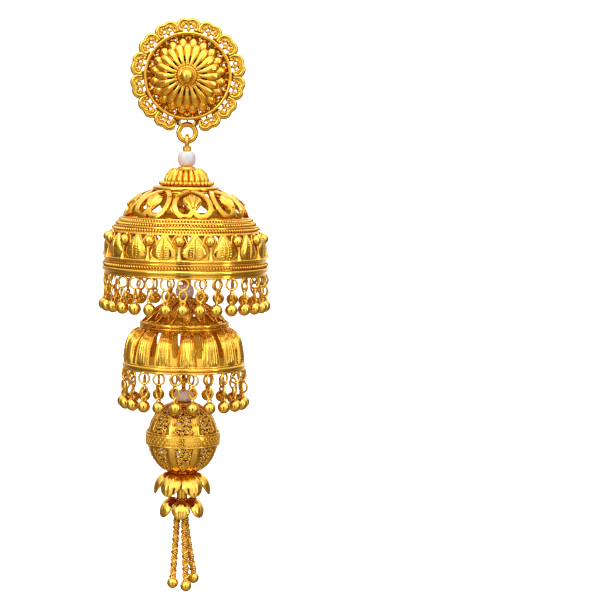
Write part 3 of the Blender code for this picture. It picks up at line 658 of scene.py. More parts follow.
def pierced(wall, repeats, start, end, holes, relief, thick, cells, phase=0.0, foot=None):
    """A turned sheet with holes cut in each repeat. relief(across, length) shapes its outer side."""
    step = 2 * pi / repeats
    scale = wall.place((start + end) / 2)[0] * step / 2
    columns, rows = cells
    sides = [start + (end - start) * k / rows for k in range(rows + 1)]
    turns = [-1 + 2 * k / columns for k in range(columns + 1)]
    low = foot or [(across, end) for across in turns]
    left_end, right_end = low[0][1], low[-1][1]
    outline = [(across, start) for across in turns]
    outline += [(1.0, length) for length in sides[1:-1] if length < right_end] + low[::-1]
    outline += [(-1.0, length) for length in sides[-2:0:-1] if length < left_end]
    loops = [[(across * scale, -length) for across, length in loop] for loop in [outline, *holes]]

    def on_sheet(point):
        return inside(point, loops[0]) and not any(inside(point, loop) for loop in loops[1:])

    points = []
    edges = []
    for loop in loops:
        first = len(points)
        points += [Vector(point) for point in loop]
        edges += [(first + k, first + (k + 1) % len(loop)) for k in range(len(loop))]
    for length in sides[1:-1]:
        for across in turns[1:-1]:
            if on_sheet((across * scale, -length)):
                points.append(Vector((across * scale, -length)))
    corners, _, faces, _, _, _ = delaunay_2d_cdt(points, edges, [], 0, 1e-8)
    kept = []
    for face in faces:
        if on_sheet(sum((corners[k] for k in face), Vector((0, 0))) / 3):
            kept.append([(corners[k].x / scale, -corners[k].y) for k in face])
    bm = bmesh.new()
    made = {}
    rim = {}

    def corner(repeat, across, length, outer):
        key = (round(2 * repeat + across, 4) % (2 * repeats), round(length, 8), outer)
        if key not in made:
            turn = FRONT + radians(phase) + (repeat + across / 2) * step
            made[key] = bm.verts.new(wall.spot(turn, length, relief(across, length) if outer else -thick))
        return key

    for repeat in range(repeats):
        for face in kept:
            outer = [corner(repeat, across, length, True) for across, length in face]
            inner = [corner(repeat, across, length, False) for across, length in face]
            if len(set(outer)) < 3:
                continue
            bm.faces.new([made[key] for key in outer])
            bm.faces.new([made[key] for key in inner[::-1]])
            for a, b in zip(outer, outer[1:] + outer[:1]):
                if (b, a) in rim:
                    del rim[(b, a)]
                else:
                    rim[(a, b)] = True
    for a, b in rim:
        bm.faces.new([made[a], made[a[:2] + (False,)], made[b[:2] + (False,)], made[b]])
    return as_mesh(bm)


def flat(_across, _length):
    return 0.0


def stud_spot(x, radius, lift=0.0):
    """A place on the stud's face, x millimetres to the side and this many from the centre."""
    turn = FRONT + x / SCALLOP_REACH
    return Vector((radius * MM * cos(turn), radius * MM * sin(turn), SHEET_FRONT + lift * MM))


def stud_line(points, steps, lift, side=1):
    return [stud_spot(side * x, y, lift) for x, y in smooth(points, steps)]


def without(mesh, found):
    """A mesh opened for work, less the corners that are found."""
    bm = bmesh.new()
    bm.from_mesh(mesh)
    bpy.data.meshes.remove(mesh)
    bmesh.ops.delete(bm, geom=[v for v in bm.verts if found(v.co)], context="VERTS")
    return bm


def in_lowest_place(point):
    return point.y < 0 and abs(atan2(point.x, -point.y)) < pi / SCALLOPS * HANGER_PLACE_SHARE


def under_the_hanger(point):
    return point.y < -LUG_TOP and abs(point.x) < LUG_HALF_WIDTH


outer_edge = both_sides([(-1.66, 7.60), (-1.74, 8.20), (-1.46, 8.86), (-0.80, 9.22), (0.0, 9.04)])
inner_edge = both_sides([(-1.12, 7.95), (-1.12, 8.40), (-0.86, 8.74), (-0.42, 8.86), (0.0, 8.66)])
curl = [(0.05, 8.60), (0.10, 8.20), (0.36, 7.90), (0.76, 7.94), (0.90, 8.24), (0.66, 8.42)]
granules = [
    # side, reach, lift, radius, in millimetres
    (1.32, 7.66, 0.15, 0.36),
    (0.80, 8.52, 0.30, 0.30),
    (0.36, 8.78, 0.36, 0.20),
    (1.16, 8.30, 0.36, 0.20),
]
scallop = Work()
scallop.wire(stud_line(outer_edge, 5, 0.05), BORDER_WIRE)
scallop.wire(stud_line(inner_edge, 5, 0.25), 0.18 * MM)
for side in (-1, 1):
    scallop.wire(stud_line(curl, 5, 0.15, side), FINE_WIRE)
    for x, y, lift, radius in granules:
        scallop.bead(stud_spot(side * x, y, lift), radius * MM)
scallop.bead(stud_spot(0.0, 7.70, 0.20), 0.34 * MM)
border = without(scallop.repeated(SCALLOPS), in_lowest_place)
bmesh.ops.holes_fill(border, edges=[e for e in border.edges if e.is_boundary], sides=12)

stud_wall = Wall(
    [(WEB_RADIUS, SHEET_FRONT), (RING_RADIUS, SHEET_FRONT)],
    [(RING_RADIUS, SHEET_FRONT), (STUD_RADIUS, SHEET_FRONT)],
)
through = [
    [(0.10, 0.12), (0.60, 0.12), (0.70, 0.30), (0.56, 0.52), (0.14, 0.48)],
    [(0.26, 0.66), (0.56, 0.58), (0.60, 0.70), (0.34, 0.82)],
]
holes = [stud_wall.along(SCALLOP_RUN, smooth(hole, 4, True), side) for hole in through for side in (1, -1)]
for k in (-0.5, 0.5):
    gap = [(k, 0.30), (k + 0.16, 0.44), (k + 0.22, 0.58), (k + 0.10, 0.70)]
    gap += [(2 * k - a, share) for a, share in gap[:0:-1]]
    holes.append(stud_wall.along(WEB_RUN, gap))
lobe = [(-1.0, 0.26), (-0.92, 0.62), (-0.55, 0.90), (0.0, 0.84), (0.55, 0.90), (0.92, 0.62), (1.0, 0.26)]
lobe = stud_wall.along(SCALLOP_RUN, smooth(lobe, 3))
backing = pierced(stud_wall, SCALLOPS, 0.0, stud_wall.at(2), holes, flat, SHEET, (16, 24), 0.0, lobe)
backing = without(backing, under_the_hanger)

round_turn = [FRONT + 2 * pi * k / HOOP_POINTS for k in range(HOOP_POINTS)]


def hoop(radius, height, every=1):
    """Points round the axis, for a wire ring."""
    return [Vector((radius * cos(t), radius * sin(t), height)) for t in round_turn[::every]]


rings = Work()
for lift, wire in RING_WIRES:
    rings.wire(hoop(RING_REACH, SHEET_FRONT + lift), wire, True)
rings.wire(hoop(WEB_RADIUS, SHEET_FRONT), WEB_WIRE, True)
hanger = []
for t in round_turn[::2]:
    hanger.append((HANGER_RADIUS * cos(t), HANGER_HEIGHT + HANGER_RADIUS * sin(t), HANGER_DEPTH))
rings.wire(hanger, HANGER_WIRE, True)
lug_scroll = both_sides([(-1.5, 7.6), (-1.2, 8.1), (-0.55, 8.2), (0.0, 7.95)])
rings.wire(stud_line(lug_scroll, 5, 0.05), LUG_WIRE)
rosette = [as_mesh(border), as_mesh(backing), rings.repeated(wire_sides=12)]
dress("rosette_and_hanger", rosette, worked_gold, "stud", ["stud_rosette"], TO_FRONT, 60)


# Stud flower: a dome of thin sheet gold pressed into twenty ribbed petals, with slots sawn between them.
# A second row of petal tips shows under it. A collar of granules and a large granule are soldered on top.
FLOWER_RADIUS = 5.75 * MM
FLOWER_RISE = 2.1 * MM
FLOWER_PETALS = 20
FLOWER_BASE = PLATE_THICKNESS + 0.3 * MM + SHEET + 0.5 * MM
FLOWER_PEAK = FLOWER_BASE + FLOWER_RISE
FLOWER_SHEET = 0.3 * MM
PETAL_SWELL = 0.40 * MM
PETAL_RUN = (0, 6)
TIP_SWELL = 0.42 * MM
TIP_SHEET = 0.12 * MM
BOSS_GRANULE = 1.18 * MM
BOSS_RING = 1.42 * MM
BOSS_WIRE = 0.16 * MM
COLLAR_REACH = 1.90 * MM
COLLAR_GRANULE = 0.21 * MM
COLLAR_GRANULES = 26

dome_line = []
for s in (0.19, 0.32, 0.46, 0.6, 0.74, 0.87, 1.0):
    dome_line.append((FLOWER_RADIUS * s, FLOWER_BASE + FLOWER_RISE * (1 - s**2) ** 0.7))
flower_wall = Wall(dome_line)


def petal_relief(across, length):
    """Each petal is a rounded rib with a crease along its middle."""
    share = length / flower_wall.lengths[-1]
    rise = [(0, 0.1), (0.25, 0.8), (0.5, 1.0), (0.75, 0.75), (0.93, 0.35), (1, 0.1)]
    swell = PETAL_SWELL * table(rise, share)
    return swell * (0.72 * (1 - abs(across) ** 4) + 0.28 * (1 - abs(across)))


slot = [(1.0, 0.20), (0.70, 0.23), (0.60, 0.31), (0.74, 0.41), (1.0, 0.46)]
slots = [flower_wall.along(PETAL_RUN, slot, side) for side in (1, -1)]
tip = both_sides([(-1.0, 0.60), (-0.76, 0.75), (-0.38, 0.89), (0.0, 1.0)])
tip = flower_wall.along(PETAL_RUN, tip)
edge = flower_wall.at(6)
cells = (12, 26)
petals = pierced(flower_wall, FLOWER_PETALS, 0.0, edge, slots, petal_relief, FLOWER_SHEET, cells, 0.0, tip)
under_petal = Work()
tip_wall = Wall(
    [
        (3.6 * MM, FLOWER_BASE + 0.4 * MM),
        (5.3 * MM, FLOWER_BASE + 0.3 * MM),
        (6.5 * MM, FLOWER_BASE - 0.5 * MM),
    ]
)
under_petal.pillow(
    tip_wall.tile(FLOWER_PETALS),
    0.0,
    tip_wall.at(2),
    [(0, 0.7), (0.5, 0.94), (0.75, 0.86), (0.92, 0.55), (1, 0.10)],
    lambda t, v: TIP_SWELL * (1 - v * v) * (1 - 0.5 * t**4),
    TIP_SHEET,
    10,
    8,
)
webs = Work()
web_curl = [(0.9, 6.9), (1.1, 6.3), (0.7, 5.9), (0.3, 6.1), (0.45, 6.45)]
for side in (-1, 1):
    webs.wire([stud_spot(side * x * 1.15, y, 0.30) for x, y in smooth(web_curl, 4)], FINE_WIRE)
webs.bead(stud_spot(0.0, 6.45, 0.30), 0.30 * MM)
cap = bmesh.new()
cap_line = [(0.0, 0.55), (1.15, 0.5), (1.62, 0.20), (1.95, -0.3), (1.4, -0.8), (0.0, -0.8)]
turned(cap, [(radius * MM, FLOWER_PEAK + height * MM) for radius, height in cap_line], 48)
boss = Work()
boss.bead(Vector((0, 0, FLOWER_PEAK + 0.50 * MM)), BOSS_GRANULE)
boss.wire(hoop(BOSS_RING, FLOWER_PEAK + 0.36 * MM), BOSS_WIRE, True)
collar = Work()
collar.bead(Vector((0, -COLLAR_REACH, FLOWER_PEAK - 0.02 * MM)), COLLAR_GRANULE)
flower = [petals, under_petal.repeated(FLOWER_PETALS, 180 / FLOWER_PETALS), webs.repeated(SCALLOPS)]
flower += [as_mesh(cap), boss.repeated(bead_sides=32), collar.repeated(COLLAR_GRANULES)]
dress("ribbed_flower", flower, worked_gold, "stud", ["stud_flower"], TO_FRONT, 50)


# Pins: drawn gold wire, bent to an eye at either end. The eyes hang in each other, so the parts swing.
# A turned collar soldered on each pin carries what hangs on it, and the top one is wrapped under its eye.
PIN_WIRE = 0.38 * MM
TOP_EYE = 0.96 * MM
EYE = 0.88 * MM
BELL_HINGE = -10.8 * MM
CUP_HINGE = -33.3 * MM
BALL_HINGE = -51.0 * MM
UNDER_BELL = -18.99 * MM
UNDER_DOME = -37.76 * MM
UNDER_PETALS = -67.06 * MM
CAP_HEIGHT = -71.56 * MM
COLLAR_RADIUS = 1.15 * MM
COLLAR = 0.4 * MM
WRAP_RADIUS = 0.57 * MM
WRAP_WIRE = 0.19 * MM
WRAP_STEP = 0.24 * MM
EYE_POINTS = 32
PIN_SIDES = 24


def eye_points(height, radius, across_x):
    """Points of an eye, which lies across X or across Y."""
    turns = [2 * pi * k / EYE_POINTS for k in range(EYE_POINTS)]
    if across_x:
        return [Vector((0, radius * cos(t), height + radius * sin(t))) for t in turns]
    return [Vector((radius * cos(t), 0, height + radius * sin(t))) for t in turns]


def pin(name, body, node, top, foot, collars, eyes, wraps=()):
    """A rod with collars as (height, radius, thickness) and eyes as (height, radius, across X)."""
    work = Work()
    for height in wraps:
        work.wire(hoop(WRAP_RADIUS, height, 3), WRAP_WIRE, True)
    for height, radius, across_x in eyes:
        work.wire(eye_points(height, radius, across_x), PIN_WIRE * 0.96, True)
    bm = bmesh.new()
    line = [(0.0, top), (PIN_WIRE, top)]
    for height, radius, thick in collars:
        line += [(PIN_WIRE, height), (radius, height), (radius, height - thick), (PIN_WIRE, height - thick)]
    line += [(PIN_WIRE, foot), (0.0, foot)]
    turned(bm, rounded(line, 0.1 * MM, 3), PIN_SIDES)
    dress(name, [work.repeated(wire_sides=12), as_mesh(bm)], smooth_gold, body, [node])


pin(
    "bell_hook",
    "bell",
    "bell_pin",
    BELL_HINGE - TOP_EYE,
    CUP_HINGE + 2 * EYE,
    [(BELL_HINGE - TOP_EYE - 0.42 * MM, 0.74 * MM, 0.22 * MM), (UNDER_BELL, COLLAR_RADIUS, COLLAR)],
    [(BELL_HINGE, TOP_EYE, True), (CUP_HINGE + EYE, EYE, True)],
    [BELL_HINGE - TOP_EYE - WRAP_STEP * k for k in range(3)],
)
pin(
    "dome_hook",
    "cup",
    "cup_pin",
    CUP_HINGE - EYE,
    BALL_HINGE + 2 * EYE,
    [(UNDER_DOME, COLLAR_RADIUS, COLLAR)],
    [(CUP_HINGE, EYE, False), (BALL_HINGE + EYE, EYE, False)],
)
pin(
    "ball_hook",
    "ball",
    "ball_pin",
    BALL_HINGE - EYE,
    CAP_HEIGHT - COLLAR,
    [(UNDER_PETALS, COLLAR_RADIUS * 0.8, 3.8 * MM), (CAP_HEIGHT, COLLAR_RADIUS, COLLAR * 0.8)],
    [(BALL_HINGE, EYE, True)],
)


# Pearls: small white seed pearls with a faint rose and blue lustre, each a little flattened at its ends.
# They are drilled through and threaded on the pins. Where gold is close by, a warm colour is painted on
# them: a painted reflection of the gold.
PEARL_RADIUS = 1.55 * MM
BORE = 0.53 * MM
PEARL_TINTS = [
    # place in the clouds, colour
    (0.36, (0.62, 0.62, 0.69, 1.0)),
    (0.66, (0.74, 0.61, 0.62, 1.0)),
    (0.50, (0.70, 0.67, 0.68, 1.0)),
]
PEARL_ROUGHNESS = (0.3, 0.7, 0.14, 0.24)
PAINTED_GOLD_REFLECTION = (1.0, 0.68, 0.50, 1.0)
PAINTED_REFLECTION_REACH = 12 * MM
PAINTED_REFLECTION_ENDS = (0.40, 0.80)
PEARL_END = 74
PEARL_END_SHARE = 0.30
PEARL_FULLNESS = 0.62
PEARL_ROWS = 20
PEARL_SIDES = 48
PEARLS = [
    # name, body, node, top, height
    ("upper_seed_pearl", "bell", "top_pearl", -12.44 * MM, 2.5 * MM),
    ("middle_seed_pearl", "cup", "middle_pearl", -34.71 * MM, 2.2 * MM),
    ("lower_seed_pearl", "ball", "lower_pearl", -52.41 * MM, 1.9 * MM),
]

lustre, given, results = shader_group(
    "pearl_lustre",
    [("Pattern", "NodeSocketVector", (0, 0, 0)), ("Patch scale", "NodeSocketFloat", 500.0)],
    [("Color", "NodeSocketColor"), ("Roughness", "NodeSocketFloat")],
)
tree = lustre
cloud = clouds(tree, given["Pattern"], given["Patch scale"], 1.0)
tints = tree.nodes.new("ShaderNodeValToRGB")
stops = tints.color_ramp.elements
for k, (position, colour) in enumerate(PEARL_TINTS):
    stop = stops[k] if k < 2 else stops.new(position)
    stop.position = position
    stop.color = colour
tree.links.new(cloud, tints.inputs["Fac"])
# Painted reflection: near gold, the pearl's colour goes over to a warm gold tint.
away_from_gold = ramp(tree, openness(tree, PAINTED_REFLECTION_REACH), *PAINTED_REFLECTION_ENDS)
tree.links.new(blend(tree, away_from_gold, PAINTED_GOLD_REFLECTION, tints.outputs["Color"]), results["Color"])
tree.links.new(ramp(tree, cloud, *PEARL_ROUGHNESS), results["Roughness"])
pearl_coat, shader, _ = finish("pearl_lustre", lustre, {})
shader.inputs["Subsurface Weight"].default_value = 0.25
shader.inputs["Subsurface Scale"].default_value = 0.6 * MM
shader.inputs["Coat Weight"].default_value = 0.5
shader.inputs["Coat Roughness"].default_value = 0.06

for name, body, node, top, height in PEARLS:
    bm = bmesh.new()
    half = height / 2
    line = [(BORE, top)]
    for k in range(PEARL_ROWS + 1):
        turn = radians(-PEARL_END + 2 * PEARL_END * k / PEARL_ROWS)
        reach = abs(cos(turn)) ** PEARL_FULLNESS
        radius = PEARL_RADIUS * (PEARL_END_SHARE + (1 - PEARL_END_SHARE) * reach)
        line.append((radius, top - half + half * -sin(turn) / sin(radians(PEARL_END))))
    line += [(BORE, top - height)]
    turned(bm, line, PEARL_SIDES, True)
    dress(name, [as_mesh(bm)], pearl_coat, body, [node])


# Crown: a small fluted cap pressed from sheet gold, with a thin wire laid down each flute.
# It sits on top of the bell, and its foot is soldered in a ring of wire with a row of granules.
CROWN_TOP = -15.09 * MM
CROWN_RADIUS = 3.85 * MM
FLUTES = 20
FLUTE_DEPTH = 0.52 * MM
CROWN_SHEET = 0.35 * MM
CROWN_RUN = (2, 7)
FOOT_REACH = 4.30 * MM
FOOT_GRANULE = 0.36 * MM
FOOT_GRANULES = 36

crown_side = [(1.55, 0.30), (2.20, 0.70), (2.85, 1.35), (3.25, 2.05), (3.45, 2.60)]
crown_side = [(radius * MM, CROWN_TOP - fall * MM) for radius, fall in crown_side]
crown_wall = Wall(
    [(BORE, CROWN_TOP), (1.45 * MM, CROWN_TOP)],
    [(1.45 * MM, CROWN_TOP), crown_side[0]],
    [*crown_side, (CROWN_RADIUS, CROWN_TOP - 3.0 * MM)],
)


def flute(across, length):
    share = (length - crown_wall.at(2)) / (crown_wall.at(7) - crown_wall.at(2))
    if share <= 0:
        return 0.0
    rise = [(0, 0), (0.15, 0.9), (0.7, 1.0), (0.92, 0.5), (1, 0.0)]
    return FLUTE_DEPTH * table(rise, share) * (1 - abs(across) ** 2.6)


def laid(spot, line, lift):
    """The places of a line of (across, length) on one repeat of a wall."""
    return [spot(across, length, lift) for across, length in line]


crown = Work()
flute_middle = crown_wall.along(CROWN_RUN, [(0.0, s) for s in (0.16, 0.3, 0.45, 0.58)])
flute_wire = laid(crown_wall.tile(FLUTES), flute_middle, 0.55 * MM)
crown.wire(flute_wire, [0.05 * MM, 0.10 * MM, 0.10 * MM, 0.04 * MM])
foot_beads = Work()
foot_beads.bead(Vector((0, -FOOT_REACH, CROWN_TOP - 2.66 * MM)), FOOT_GRANULE)
foot_rings = Work()
foot_rings.wire(hoop(4.05 * MM, CROWN_TOP - 2.90 * MM), 0.20 * MM, True)
foot_rings.wire(hoop(1.30 * MM, CROWN_TOP - 0.02 * MM), 0.14 * MM, True)
crown_shell = pierced(crown_wall, FLUTES, 0.0, crown_wall.at(7), [], flute, CROWN_SHEET, (12, 30))
meshes = [crown_shell, crown.repeated(FLUTES), foot_beads.repeated(FOOT_GRANULES), foot_rings.repeated()]
dress("fluted_crown", meshes, worked_gold, "bell", ["bell_crown"])


# Bell: the large dome, raised from sheet gold and pierced into hearts of flat ribbon round palmettes.
# Plain and roped rings are soldered on below them, then a band of pressed leaves with granules in niches
# between them, and a heavy plain rim.
BELL_TOP = -18.24 * MM
BELL_HEIGHT = 14.3 * MM
BELL_WIDE = 13.45 * MM
BELL_PHASE = 9.5
BELL_SHEET = 0.4 * MM
HEARTS = 8
HEART_RUN = (3, 7)
HEART_LIES_BACK = 0.25 * MM
RIBBON = (0.46 * MM, 0.24 * MM, 0.16 * MM)
LEAVES = 16
LEAF_RUN = (11, 14)
LEAF_RISE = 0.45 * MM
LEAF_FOOT = 0.3 * MM
SPINE_DEPTH = 0.18 * MM
DOT_DEPTH = 0.12 * MM
DOT_ROWS = 11
NICHE_GRANULE = 0.86 * MM
NICHE_WIRE = 0.14 * MM
ROPE_WIRE = 0.27 * MM
ROPE_PITCH = 0.52 * MM
ROPE_LEAN = 32


def shares(points, wide, top, height):
    return [(wide * r, top - height * z) for r, z in points]


bell_shoulder = [(0.345, 0.0), (0.378, 0.020), (0.402, 0.045), (0.550, 0.105), (0.662, 0.187)]
bell_shoulder += [(0.734, 0.267), (0.766, 0.350)]
bell_waist = [(0.766, 0.350), (0.800, 0.385), (0.820, 0.410), (0.868, 0.460), (0.912, 0.515)]
bell_side = [(0.912, 0.515), (0.935, 0.560), (0.980, 0.670), (0.998, 0.820)]
bell_side += [(1.0, 0.870), (1.0, 0.905), (1.0, 0.965), (1.0, 1.0)]
bell_wall = Wall(
    [(BORE, BELL_TOP), (BELL_WIDE * 0.345, BELL_TOP)],
    *[shares(run, BELL_WIDE, BELL_TOP, BELL_HEIGHT) for run in (bell_shoulder, bell_waist, bell_side)],
)
heart_spot = bell_wall.tile(HEARTS)
leaf_spot = bell_wall.tile(LEAVES)


def heart_at(share):
    return bell_wall.at(*HEART_RUN, share)


def leaf_at(share):
    return bell_wall.at(*LEAF_RUN, share)


heart_line = [(0.06, 0.80), (0.26, 0.89), (0.50, 0.87), (0.68, 0.74), (0.72, 0.54)]
heart_line = both_sides(heart_line + [(0.58, 0.33), (0.34, 0.17), (0.0, 0.12)])
palmette = [(-0.06, 0.79), (-0.26, 0.70), (-0.36, 0.56), (-0.30, 0.46), (-0.16, 0.40), (0.0, 0.38)]
palmette = both_sides(palmette)
heart_hole = bell_wall.along(HEART_RUN, smooth(heart_line, 4)[1:-1] + smooth(palmette, 4)[1:-1])
over = [(1.0, 0.05), (0.60, 0.05), (0.70, 0.14), (0.84, 0.27), (0.94, 0.38), (1.0, 0.42)]
under = [(1.0, 0.73), (0.93, 0.79), (0.80, 0.88), (0.60, 0.97), (1.0, 0.97)]
corners = [bell_wall.along(HEART_RUN, hole, side) for hole in (over, under) for side in (1, -1)]
heart_ribbon = [(0.02, 0.80), (0.20, 0.93), (0.48, 0.93), (0.74, 0.80), (0.84, 0.58)]
heart_ribbon = smooth(heart_ribbon + [(0.78, 0.36), (0.58, 0.18), (0.34, 0.06), (0.16, 0.0)], 4)
hearts = Work()
for side in (1, -1):
    line = bell_wall.along(HEART_RUN, heart_ribbon, side)
    hearts.ribbon(bell_wall, HEARTS, line, *RIBBON)
fan_outline = [(0, 0.14), (0.05, 0.29), (0.14, 0.39), (0.28, 0.45), (0.46, 0.44)]
fan_outline += [(0.64, 0.34), (0.82, 0.22), (1, 0.10)]


def fan_lift(t, v):
    """A shell with ribs that fan out from its foot and a scalloped rim."""
    x = v * table(fan_outline, t) * 3.6
    y = (1 - t) * 2.9
    ribs = abs(cos(atan2(x, y + 0.05) * 6)) ** 0.5
    reach = min(1.0, hypot(x, y) / 1.2)
    return MM * (0.02 + 0.14 * (1 - v**4) + 0.32 * ribs * reach * (1 - 0.4 * v**4))


hearts.pillow(heart_spot, heart_at(0.32), heart_at(0.80), fan_outline, fan_lift, LEAF_FOOT, 34, 40)
hearts.bead(heart_spot(0.0, heart_at(0.70), 0.30 * MM), 0.34 * MM)


def sunk(_across, length):
    """The sheet lies back between its upper and its middle rings, so that the hearts stand out."""
    share = (length - heart_at(0.0)) / (heart_at(1.0) - heart_at(0.0))
    return -HEART_LIES_BACK * max(0.0, min(1.0, share / 0.06, (1 - share) / 0.04))


leaf_gap = [(0.10, 0.05), (0.26, 0.03), (0.40, 0.04), (0.42, 0.30), (0.45, 0.62), (0.46, 0.90)]
leaf_gap += [(0.38, 0.92), (0.44, 0.76), (0.38, 0.58), (0.27, 0.36)]
leaf_gaps = []
for centre in (-1, 0, 1):
    for side in (1, -1):
        hole = [(centre + side * a, leaf_at(s)) for a, s in leaf_gap]
        if all(-1 < a < 1 for a, _ in hole):
            leaf_gaps.append(hole)
holes = [heart_hole] + corners + leaf_gaps
bell_shell = pierced(bell_wall, HEARTS, 0.0, bell_wall.at(18), holes, sunk, BELL_SHEET, (24, 64), BELL_PHASE)


def ring_place(wall, mark, onward, share, lift):
    """(radius, height) of a ring that stands this far out from a wall."""
    radius, height, out_r, out_z = wall.place(wall.at(mark, onward, share))
    return radius + out_r * lift, height + out_z * lift


def wire_rings(wall, rings):
    """Plain rings on a wall, as (mark, next mark, share, lift, wire), with the last two in millimetres."""
    work = Work()
    for mark, onward, share, lift, wire in rings:
        work.wire(hoop(*ring_place(wall, mark, onward, share, lift * MM)), wire * MM, True)
    return work.repeated()


def roped(radius, height, wire):
    """A ring of two wires twisted together, drawn as leaning beads."""
    work = Work()
    count = max(12, round(2 * pi * radius / ROPE_PITCH))
    place = Matrix.Translation((radius, 0, height)) @ Matrix.Rotation(radians(ROPE_LEAN), 4, "X")
    place = place @ Matrix.Diagonal((wire, wire * 0.70, wire * 1.1, 1.0))
    made = bmesh.ops.create_icosphere(work.bm, subdivisions=1, radius=1.0, matrix=place)
    for corner in made["verts"]:
        corner[work.layers["solid"]] = 1.0
    return work.repeated(count)


plain_rings = [
    (2, 3, 0.3, 0.1, 0.42),
    (7, 8, 0.6, 0.1, 0.22),
    (9, 10, 0.0, 0.1, 0.24),
    (10, 11, 0.0, 0.1, 0.22),
    (14, 15, 0.1, 0.0, 0.28),
    (14, 15, 0.9, 0.0, 0.16),
    (16, 17, 0.8, 0.05, 0.44),
]
plain = wire_rings(bell_wall, plain_rings)
ropes = []
for mark, onward, share in ((8, 9, 0.3), (9, 10, 0.52), (10, 11, 0.55), (15, 16, 0.8)):
    ropes.append(roped(*ring_place(bell_wall, mark, onward, share, 0.20 * MM), ROPE_WIRE))

leaf_outline = [(0, 0.02), (0.06, 0.12), (0.2, 0.30), (0.4, 0.56), (0.58, 0.74), (0.72, 0.80), (0.86, 0.72)]
leaf_outline += [(0.95, 0.46), (1, 0.10)]


def leaf_lift(t, v):
    """A convex leaf with a groove for its spine and a row of punched dots to either side."""
    body = LEAF_RISE * sin(pi * min(max(t, 0.0), 1.0) ** 0.8) ** 0.5 * (1 - abs(v) ** 3)
    if not 0.15 < t < 0.93:
        return body
    dots = DOT_DEPTH * exp(-(((abs(v) - 0.34) / 0.10) ** 2)) * max(0.0, cos(2 * pi * DOT_ROWS * t))
    return body - SPINE_DEPTH * exp(-((v / 0.06) ** 2)) - dots


leaf = Work()
leaf.pillow(leaf_spot, leaf_at(0.04), leaf_at(0.97), leaf_outline, leaf_lift, LEAF_FOOT, 56, 28)
niche = Work()
arch = [(0.92, 0.80), (0.62, 0.58), (0.50, 0.34), (0.30, 0.10), (0.0, 0.02)]
for side, points in ((-1, arch), (1, arch[:-1])):
    niche.wire(laid(leaf_spot, bell_wall.along(LEAF_RUN, smooth(points, 4), side), 0.02 * MM), NICHE_WIRE)
niche.bead(leaf_spot(0.0, leaf_at(0.30), 0.15 * MM), NICHE_GRANULE)
stem = [leaf_spot(0.0, leaf_at(s), 0.05 * MM) for s in (0.50, 0.64, 0.78, 0.92, 1.0)]
niche.wire(stem, [0.30 * MM, 0.24 * MM, 0.26 * MM, 0.42 * MM, 0.60 * MM])
niche.bead(leaf_spot(0.0, leaf_at(0.08), 0.10 * MM), 0.30 * MM)
bell = [bell_shell, plain, hearts.repeated(HEARTS, BELL_PHASE)]
dress("bell_openwork", bell, worked_gold, "bell", ["bell_dome"], crease=48)
dress("bell_leaves", [leaf.repeated(LEAVES, BELL_PHASE)], worked_gold, "bell", [], crease=48)
granules = niche.repeated(LEAVES, BELL_PHASE + 180 / LEAVES, 8, 20)
dress("bell_ropes_and_granules", ropes + [granules], smooth_gold, "bell", [], crease=60)


# Fringes: under each rim hang round loops of gold wire, soldered in a row to a thin holder ring.
# Each loop carries an oval link, and the link a hollow granule by its own small ear, all free to swing.
LOOP_RADIUS = 0.90 * MM
LINK_RADIUS = 0.62 * MM
LINK_LENGTH = 1.42
EAR_SHARE = 0.55
EAR_PLACE = 1.14
FRINGE_WIRE = 0.20 * MM
GRANULE_RADIUS = 1.06 * MM

# How far each one may turn to either side, in radians.
LOOP_SWING = 0.55
LINK_SWING = 1.25
GRANULE_SWING = 0.1
EAR_SWING = 1.4


def fringe_tree():
    """Loops, links and granules set round Z, with a fixed seed for how each one has turned."""
    sizes = ("Ring radius", "Start angle", "Loop height", "Loop radius", "Link height", "Link radius")
    sizes += ("Link length", "Wire", "Granule height", "Granule radius")
    sockets = [("Drops", "Int"), ("Seed", "Int")] + [(label, "Float") for label in sizes]
    tree, given = geometry_tree("granule_fringe", sockets)
    index, turn = turn_of_each(tree, given, "Drops")
    across = times(tree, given["Ring radius"], sums(tree, "COSINE", turn, 0.0))
    along = times(tree, given["Ring radius"], sums(tree, "SINE", turn, 0.0))
    profile = circle(tree, 8, given["Wire"])
    joined = tree.nodes.new("GeometryNodeJoinGeometry")

    def spread(shape, height, swing, seed_shift):
        """The shape at each drop's place, turned about its own upright by up to the swing."""
        place = vector(tree, X=across, Y=along, Z=height)
        points = add(tree, "GeometryNodePoints", {"Count": given["Drops"], "Position": place})["Points"]
        draw = {2: -swing, 3: swing, "ID": index, "Seed": sums(tree, "ADD", given["Seed"], seed_shift)}
        twist = add(tree, "FunctionNodeRandomValue", draw, data_type="FLOAT")[1]
        spin = vector(tree, Z=sums(tree, "ADD", turn, twist))
        tree.links.new(copies(tree, points, shape, spin), joined.inputs["Geometry"])

    def wire_loop(radius, stretch):
        """An upright loop that faces outwards. It is made of a bent line, so its wire stays round."""
        longer = vector(tree, X=stretch, Y=1.0, Z=1.0)
        bent = {"Geometry": circle(tree, 24, radius), "Scale": longer, "Rotation": (0.0, radians(90), 0.0)}
        upright = add(tree, "GeometryNodeTransform", bent)["Geometry"]
        return add(tree, "GeometryNodeCurveToMesh", {"Curve": upright, "Profile Curve": profile})["Mesh"]

    spread(wire_loop(given["Loop radius"], 1.0), given["Loop height"], LOOP_SWING, 0.0)
    spread(wire_loop(given["Link radius"], given["Link length"]), given["Link height"], LINK_SWING, 7.0)
    ball = {"Segments": 24, "Rings": 14, "Radius": given["Granule radius"]}
    spread(add(tree, "GeometryNodeMeshUVSphere", ball)["Mesh"], given["Granule height"], GRANULE_SWING, 3.0)
    ear_height = sums(tree, "ADD", given["Granule height"], times(tree, given["Granule radius"], EAR_PLACE))
    spread(wire_loop(times(tree, given["Link radius"], EAR_SHARE), 1.0), ear_height, EAR_SWING, 5.0)
    finish_tree(tree, joined.outputs["Geometry"], given["Material"])
    return tree


FRINGE = fringe_tree()


